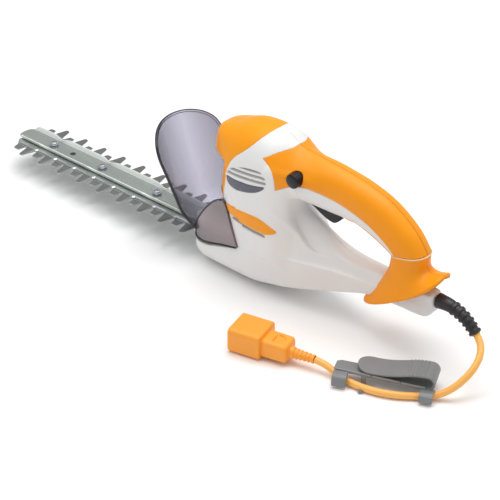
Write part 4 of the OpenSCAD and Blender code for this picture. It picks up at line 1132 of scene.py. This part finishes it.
def blade(name, tooth, start, front, flat_z, up, body, node):
    """Blade with its ground bevels on the face away from the other blade. up is 1 or -1."""
    edge = blade_edge(tooth, start, front)
    outer = np.array(edge + [[x, -y] for x, y in edge[::-1]])
    prev, nxt = np.roll(outer, 1, axis=0), np.roll(outer, -1, axis=0)
    d1, d2 = outer - prev, nxt - outer
    d1 /= np.linalg.norm(d1, axis=1)[:, None]
    d2 /= np.linalg.norm(d2, axis=1)[:, None]
    n1, n2 = np.stack([-d1[:, 1], d1[:, 0]], -1), np.stack([-d2[:, 1], d2[:, 0]], -1)
    area2 = (outer[:, 0]*nxt[:, 1] - nxt[:, 0]*outer[:, 1]).sum()
    if area2 < 0:
        n1, n2 = -n1, -n2
    m = n1 + n2
    m /= np.maximum((m*m).sum(1)[:, None]/2, 0.55)
    reach = np.where(np.abs(outer[:, 1]) > 25, 1.15, 1.9)
    reach[np.abs(outer[:, 1]) > 35] = 1.0
    reach[(outer[:, 0] > -52)] = 0.5
    inset = outer + m*reach[:, None]
    t, low = 2.0, flat_z
    holes = []
    for x in SCREW_X:
        r = 4.3
        slot = [[x + THROW + 0.5 + r*math.cos(a), r*math.sin(a)] for a in np.radians(np.arange(-90, 91, 15))]
        slot += [[x - THROW - 0.5 + r*math.cos(a), r*math.sin(a)]
                 for a in np.radians(np.arange(90, 271, 15))]
        holes.append(slot)
    holes.append([[19.5, -15.5], [19.5, 15.5], [-19.5, 15.5], [-19.5, -15.5]])
    verts, faces, kinds = [], [], []

    def add(ring, z):
        start_at = len(verts)
        verts.extend([[x, y, z] for x, y in ring])
        return start_at, len(ring)

    def wall(a, b, kind):
        for i in range(a[1]):
            j = (i + 1) % a[1]
            faces.append([a[0] + i, a[0] + j, b[0] + j, b[0] + i])
            kinds.append(kind)

    z_edge, z_top = low + up*0.8, low + up*t
    r0, r1, r2 = add(outer.tolist(), low), add(outer.tolist(), z_edge), add(inset.tolist(), z_top)
    wall(r0, r1, 1)
    wall(r1, r2, 1)
    lower, upper = [], []
    for h in holes:
        a, b = add(h, low), add(h, z_top)
        wall(a, b, 0)
        lower.append(a)
        upper.append(b)
    for loops in ([r0] + lower, [r2] + upper):
        ids = [list(range(s, s + n)) for s, n in loops]
        flat_ids = [k for ring in ids for k in ring]
        for tri in tessellate_polygon([[Vector(verts[k]) for k in ring] for ring in ids]):
            faces.append([flat_ids[k] for k in tri])
            kinds.append(0)
    o = make(name, verts, faces, [ZINC, GROUND, TOOTH], body, stands_for=(node,), slot="blade_steel",
             mats_of=kinds, smooth=False)
    bm = bmesh.new()
    bm.from_mesh(o.data)
    for y in (-ROOT - 2.1, ROOT + 2.1):
        bmesh.ops.bisect_plane(bm, geom=bm.verts[:] + bm.edges[:] + bm.faces[:], plane_co=(0, y*MM, 0),
                               plane_no=(0, 1, 0))
    for f in bm.faces:
        c = f.calc_center_median()
        if abs(c.y)/MM > ROOT + 2.1 and abs(f.normal.z) > 0.2 and c.x/MM < -52:
            f.material_index = 2
    bmesh.ops.recalc_face_normals(bm, faces=bm.faces)
    bm.to_mesh(o.data)
    bm.free()
    return o


blade("upper_blade_skin", LONG, -60, -344, 30.1, 1, "upper_blade", "upper_blade")
blade("lower_blade_skin", SHORT, -77, -347, 29.9, -1, "lower_blade", "lower_blade")

# ---- strain relief and plug --------------------------------------------------------------------
RELIEF = [[247, 0, 63.8], [252, 0, 64], [259, 0, 64], [267, 0, 62.5], [275, -0.5, 60], [282, -1.2, 56.5],
          [288, -2, 52.5], [294, -3, 48]]
relief_path = route(RELIEF, 26)
share = np.linspace(0, 1, len(relief_path))
ribs = 6
taper = np.where(share < 0.36, 7.9 - 1.4*share/0.36, 6.7 - 1.0*(share - 0.36)/0.64)
ripple = 2.6*np.cos(2*np.pi*ribs*(share - 0.36)/0.64 + np.pi)
wave = np.where(share < 0.36, 0, np.clip(ripple, -1, 0.75)*0.72)
edge = 0.9*(1 - step(0.0, 0.03, share)) + 0.8*step(0.975, 1.0, share)
verts, faces = lathe_on(relief_path, taper + wave - edge, 48)
make("relief_skin", verts, faces, RUBBER, stands_for=("strain_relief",), slot="black_rubber", sharp=60)

PLUG_PLACE, PLUG_ANGLE = np.array([94.5, -115.5, 11.5]), math.radians(13.5)


def at_plug(p):
    c, s = math.cos(PLUG_ANGLE), math.sin(PLUG_ANGLE)
    p = np.asarray(p, float)
    return PLUG_PLACE + np.stack([p[..., 0]*c - p[..., 1]*s, p[..., 0]*s + p[..., 1]*c, p[..., 2]], -1)


def round_rect(w, h, r, n=16, fill=0):
    """Points round a rectangle with rounded corners, in the section's y and z. It has 4(n + fill) points."""
    r = min(r, w - 0.01, h - 0.01)
    pts = []
    corner = [(w - r, h), (-(w - r), h), (-w, h - r), (-w, -(h - r)), (-(w - r), -h), (w - r, -h),
              (w, -(h - r)), (w, h - r)]
    for k, (sy, sz) in enumerate(((1, 1), (-1, 1), (-1, -1), (1, -1))):
        for a in np.linspace(0, np.pi/2, n):
            t = a + k*np.pi/2
            pts.append([sy*(w - r) + r*math.cos(t), sz*(h - r) + r*math.sin(t)])
        (y0, z0), (y1, z1) = corner[2*k], corner[2*k + 1]
        for share in np.arange(1, fill + 1)/(fill + 1):
            pts.append([y0 + (y1 - y0)*share, z0 + (z1 - z0)*share])
    return np.array(pts)


def plug():
    rows = []

    def ring(x, w, h, r):
        wider, aside, taller = (1.4, 2.6, 2.0) if x < 30.05 else (0.5, 0.5, 1.2) if x < 57.2 else (0, 0, 0)
        rows.append((x - 5*(1 - step(0, 29, x)), round_rect(w + wider, h + taller, r, 10, 14)
                     + [aside, taller]))

    ring(20.0, 0.4, 0.3, 0.1)
    ring(20.0, 12.0, 7.0, 2.0)
    ring(19.4, 13.0, 8.0, 2.6)
    ring(8.0, 13.0, 8.0, 2.6)
    ring(1.0, 13.1, 8.1, 2.7)
    for t in np.radians([0, 30, 60, 90]):
        ring(0.8 - 0.8*math.sin(t), 13.2 + 0.7*(1 - math.cos(t)), 8.2 + 0.7*(1 - math.cos(t)), 2.8)
    for t in np.radians([0, 20, 40, 60, 80, 90]):
        ring(1.6 - 1.6*math.cos(t), 14.8 + 1.6*math.sin(t), 9.8 + 1.6*math.sin(t), 4 + 0.6*math.sin(t))
    for x in np.linspace(2.4, 27.6, 12):
        ring(x, 16.4, 11.4, 4.6)
    for t in np.radians([0, 25, 50, 70, 90]):
        ring(28.2 + 1.8*math.sin(t), 14.6 + 1.8*math.cos(t), 9.6 + 1.8*math.cos(t), 4.4)
    ring(30.1, 12.2, 9.2, 4.2)
    ring(30.6, 11.5, 8.6, 4.2)
    ring(31.4, 11.6, 8.7, 4.4)
    for x in np.linspace(32.5, 54, 44):
        ring(x, 11.9 - 0.014*(x - 32), 8.9 - 0.012*(x - 32), 4.6)
    for t in np.radians([10, 30, 50, 70, 90]):
        ring(54 + 3*math.sin(t), 8.2 + 3.3*math.cos(t), 5.7 + 2.9*math.cos(t), 4.6)
    for x, r in ((57.4, 6.3), (58.2, 6.15), (61.2, 6.05), (61.9, 5.4)):
        ring(x, r, r, r)
    for x in np.linspace(62.3, 82.2, 72):
        k = (x - 62)/4.2
        bulge = np.clip(2.4*math.cos(2*math.pi*(k - 0.66)), -0.9, 0.9)
        r = 5.05 - 0.055*(x - 62) + 0.55*bulge
        ring(x, r, r, r)
    ring(82.9, 4.3, 4.3, 4.3)
    ring(83.0, 3.6, 3.6, 3.6)
    ring(80.0, 3.5, 3.5, 3.5)
    verts = []
    for x, pts in rows:
        for y, z in pts:
            if 33 < x < 54 and z > 6:
                d = math.hypot(x - 44, y)
                flat = 1 - float(step(-0.4, 0.4, 40 - x))
                z -= 1.7*float(1 - step(6.4, 7.2, d))*max(flat, 0)
            verts.append([x, y, z])
    n = 96
    faces = grid_faces(len(rows), n, closed=True).tolist()
    faces += [list(range(n)), [(len(rows) - 1)*n + i for i in range(n)][::-1]]
    o = make("plug_skin", at_plug(verts), faces, PLUG, stands_for=("plug_body",), slot="orange_cord",
             sharp=55)
    bm = bmesh.new()
    bm.from_mesh(o.data)
    bmesh.ops.remove_doubles(bm, verts=bm.verts, dist=0.00001)
    bmesh.ops.recalc_face_normals(bm, faces=bm.faces)
    bm.to_mesh(o.data)
    bm.free()
    return o


plug_piece = plug()

# ---- cord clip ---------------------------------------------------------------------------------
CLIP_PLACE, CLIP_ANGLE, CLIP_T = np.array([203.0, -84.0, 0.0]), math.radians(24), 2.2


def at_clip(p):
    c, s = math.cos(CLIP_ANGLE), math.sin(CLIP_ANGLE)
    p = np.asarray(p, float)
    return CLIP_PLACE + np.stack([p[..., 0]*c - p[..., 1]*s, p[..., 0]*s + p[..., 1]*c, p[..., 2]], -1)


def strip(name, path, across, halves, middle_at, mat, thick=CLIP_T, bumps=None, corner=0.7):
    """Moulded strip along a path in a plane. across is the plane's other axis; halves are half widths."""
    path = np.array(path, float)
    d = np.gradient(path, axis=0)
    d /= np.linalg.norm(d, axis=1)[:, None]
    n = np.cross(across, d)
    n /= np.linalg.norm(n, axis=1)[:, None]
    verts = []
    for i, p in enumerate(path):
        lift = 0 if bumps is None else bumps[i]
        for y, z in round_rect(max(halves[i], corner + 0.02), thick/2, corner, 6):
            z = z + lift if z > 0 else z
            verts.append(p + np.array(across)*(y + middle_at[i]) + n[i]*z)
    m = 24
    faces = grid_faces(len(path), m, closed=True).tolist()
    faces += [list(range(m)), [(len(path) - 1)*m + i for i in range(m)][::-1]]
    o = make(name, at_clip(verts), faces, mat, slot="grey_plastic", sharp=50)
    return face_outwards(o)


PLATE = [[-9, 12.1], [0, 12.0], [20, 11.6], [40, 10.8], [60, 9.8], [78, 9.2]]
side_line = [[x, 0, z] for x, z in PLATE]
side_line += [[81 + 6.9*math.cos(a), 0, 16.1 + 6.9*math.sin(a)] for a in np.radians(np.arange(-90, 91, 15))]
side_line += [[74, 0, 22.7], [66, 0, 21.6], [54, 0, 18.6], [42, 0, 16.3], [30, 0, 15.6], [20, 0, 16.2],
              [12, 0, 17.8]]
clip_line = route(side_line, 20)
run = np.concatenate([[0], np.cumsum(np.linalg.norm(np.diff(clip_line, axis=0), axis=1))])
total = run[-1]
to_end, to_start = total - run, run
halves = np.full(len(run), 13.0)
halves = np.where(to_end < 13, np.sqrt(np.clip(169 - (13 - to_end)**2, 1, None)), halves)
halves = np.where(to_start < 4, 13 - 0.6*(4 - to_start), halves)
on_tongue = (clip_line[:, 2] > 20.5) & (clip_line[:, 0] < 80)
ripple = np.clip(np.cos(2*np.pi*clip_line[:, 0]/3.4)*1.5, -0.4, 1)
ridge = np.where(on_tongue & (clip_line[:, 0] > 53), 0.45*ripple, 0)
narrow = (1 - step(16, 34, clip_line[:, 0]))*(clip_line[:, 2] < 14)
clip_piece = strip("clip_spring", clip_line, (0, 1, 0), halves - 4.5*narrow, 2.0 - 4.5*narrow, GREY,
                   bumps=ridge)
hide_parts("cord_clip")
for i, (x0c, size, reach) in enumerate(((-8, 14, 23.5), (18, 5, 26), (76, 13, 23.5))):
    top = float(np.interp(x0c + size/2, *np.array(PLATE).T))
    hook = route([[0, -10.2, top], [0, -reach + 6.5, top], [0, -reach + 3.4, top - 0.9],
                  [0, -reach + 1.6, 8.6], [0, -reach + 1.1, 5], [0, -reach + 1.4, 2.9],
                  [0, -reach + 3.0, 1.9]], 5)
    if i == 1:
        hook = route([[0, -9.4, top], [0, -10.6, top - 2.6], [0, -11.2, 5.0], [0, -13.4, 1.6], [0, -19, 1.4],
                      [0, -reach + 2, 1.8]], 5)
    hook[:, 0] = x0c + size/2
    k = len(hook)
    width = np.full(k, size/2) - 0.35*np.linspace(0, 1, k)**3
    strip(f"clip_hook_{i}", hook, (1, 0, 0), width, np.zeros(k), GREY)
# The rails take the lighter grey, a painted highlight on their tops.
for i, (start, end) in enumerate(((-7, 27.4), (28.6, 55.4), (56.6, 80))):
    rib = route([[x, -10.6, float(np.interp(x, *np.array(PLATE).T)) + 1.7]
                 for x in np.linspace(start, end, 4)], 6)
    strip(f"clip_rail_{i}", rib, (0, 0, 1), np.full(len(rib), 1.0), np.zeros(len(rib)),
                            RAIL_HIGHLIT, thick=1.1, corner=0.4)

# ---- carried CAD nodes ---------------------------------------------------------------------------
CARRIED = {
    "base_plate": ALLOY, "gear_case": ALLOY, "crank_pin": GEAR, "bar_spacers": BRIGHT, "bar_nuts": BRIGHT,
    "crank_gear": GEAR, "pinion": GEAR, "armature": CORE, "commutator": COPPER, "fan": BLACK_MATT,
    "field_core": CORE, "field_coils": COPPER, "motor_frame": BLACK_MATT, "bearing_lower": BRIGHT,
    "bearing_upper": BRIGHT, "brush_holders": AMBER, "carbon_brushes": CARBON, "switch_body": BLACK_MATT,
    "capacitor": AMBER, "inner_leads": WIRE, "trigger_pin": BRIGHT, "trigger_spring": BRIGHT,
    "button_spring": BRIGHT, "plug_pins": BRASS}
for node, mat in CARRIED.items():
    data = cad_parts[node].data
    data.materials.clear()
    data.materials.append(mat)


# ---- floor and light --------------------------------------------------------------------------
def area(name, place, size, power, aim=(0.02, 0.0, 0.05)):
    light = bpy.data.lights.new(name, "AREA")
    light.shape, light.size, light.energy = "DISK", size, power
    o = bpy.data.objects.new(name, light)
    scene.collection.objects.link(o)
    o.location = place
    o.rotation_mode = "QUATERNION"
    o.rotation_quaternion = (Vector(aim) - Vector(place)).to_track_quat("-Z", "Y")
    return o


floor_mesh = bpy.data.meshes.new("floor")
floor_mesh.from_pydata([(-6, -6, -0.0005), (6, -6, -0.0005), (6, 6, -0.0005), (-6, 6, -0.0005)], [],
                       [(0, 1, 2, 3)])
floor_mesh.materials.append(material("floor", srgb(252, 252, 252), rough=0.8, mottle=0.004, mottle_scale=2,
                                     wear=1.0))
floor = bpy.data.objects.new("floor", floor_mesh)
scene.collection.objects.link(floor)
world = bpy.data.worlds.new("studio")
scene.world = world
world.use_nodes = True
world.node_tree.nodes["Background"].inputs["Color"].default_value = (1, 1, 1, 1)
world.node_tree.nodes["Background"].inputs["Strength"].default_value = 0.5
LIGHTS = {"key": ((-0.5, -0.9, 1.9), 0.8, 6.4), "rear": ((1.3, 0.9, 1.5), 0.9, 3),
          "top": ((0.0, 0.25, 1.8), 1.5, 22)}
for light_name, (light_place, disc_size, watts) in LIGHTS.items():
    area(light_name, light_place, disc_size, watts)
scene.view_settings.view_transform = "Standard"
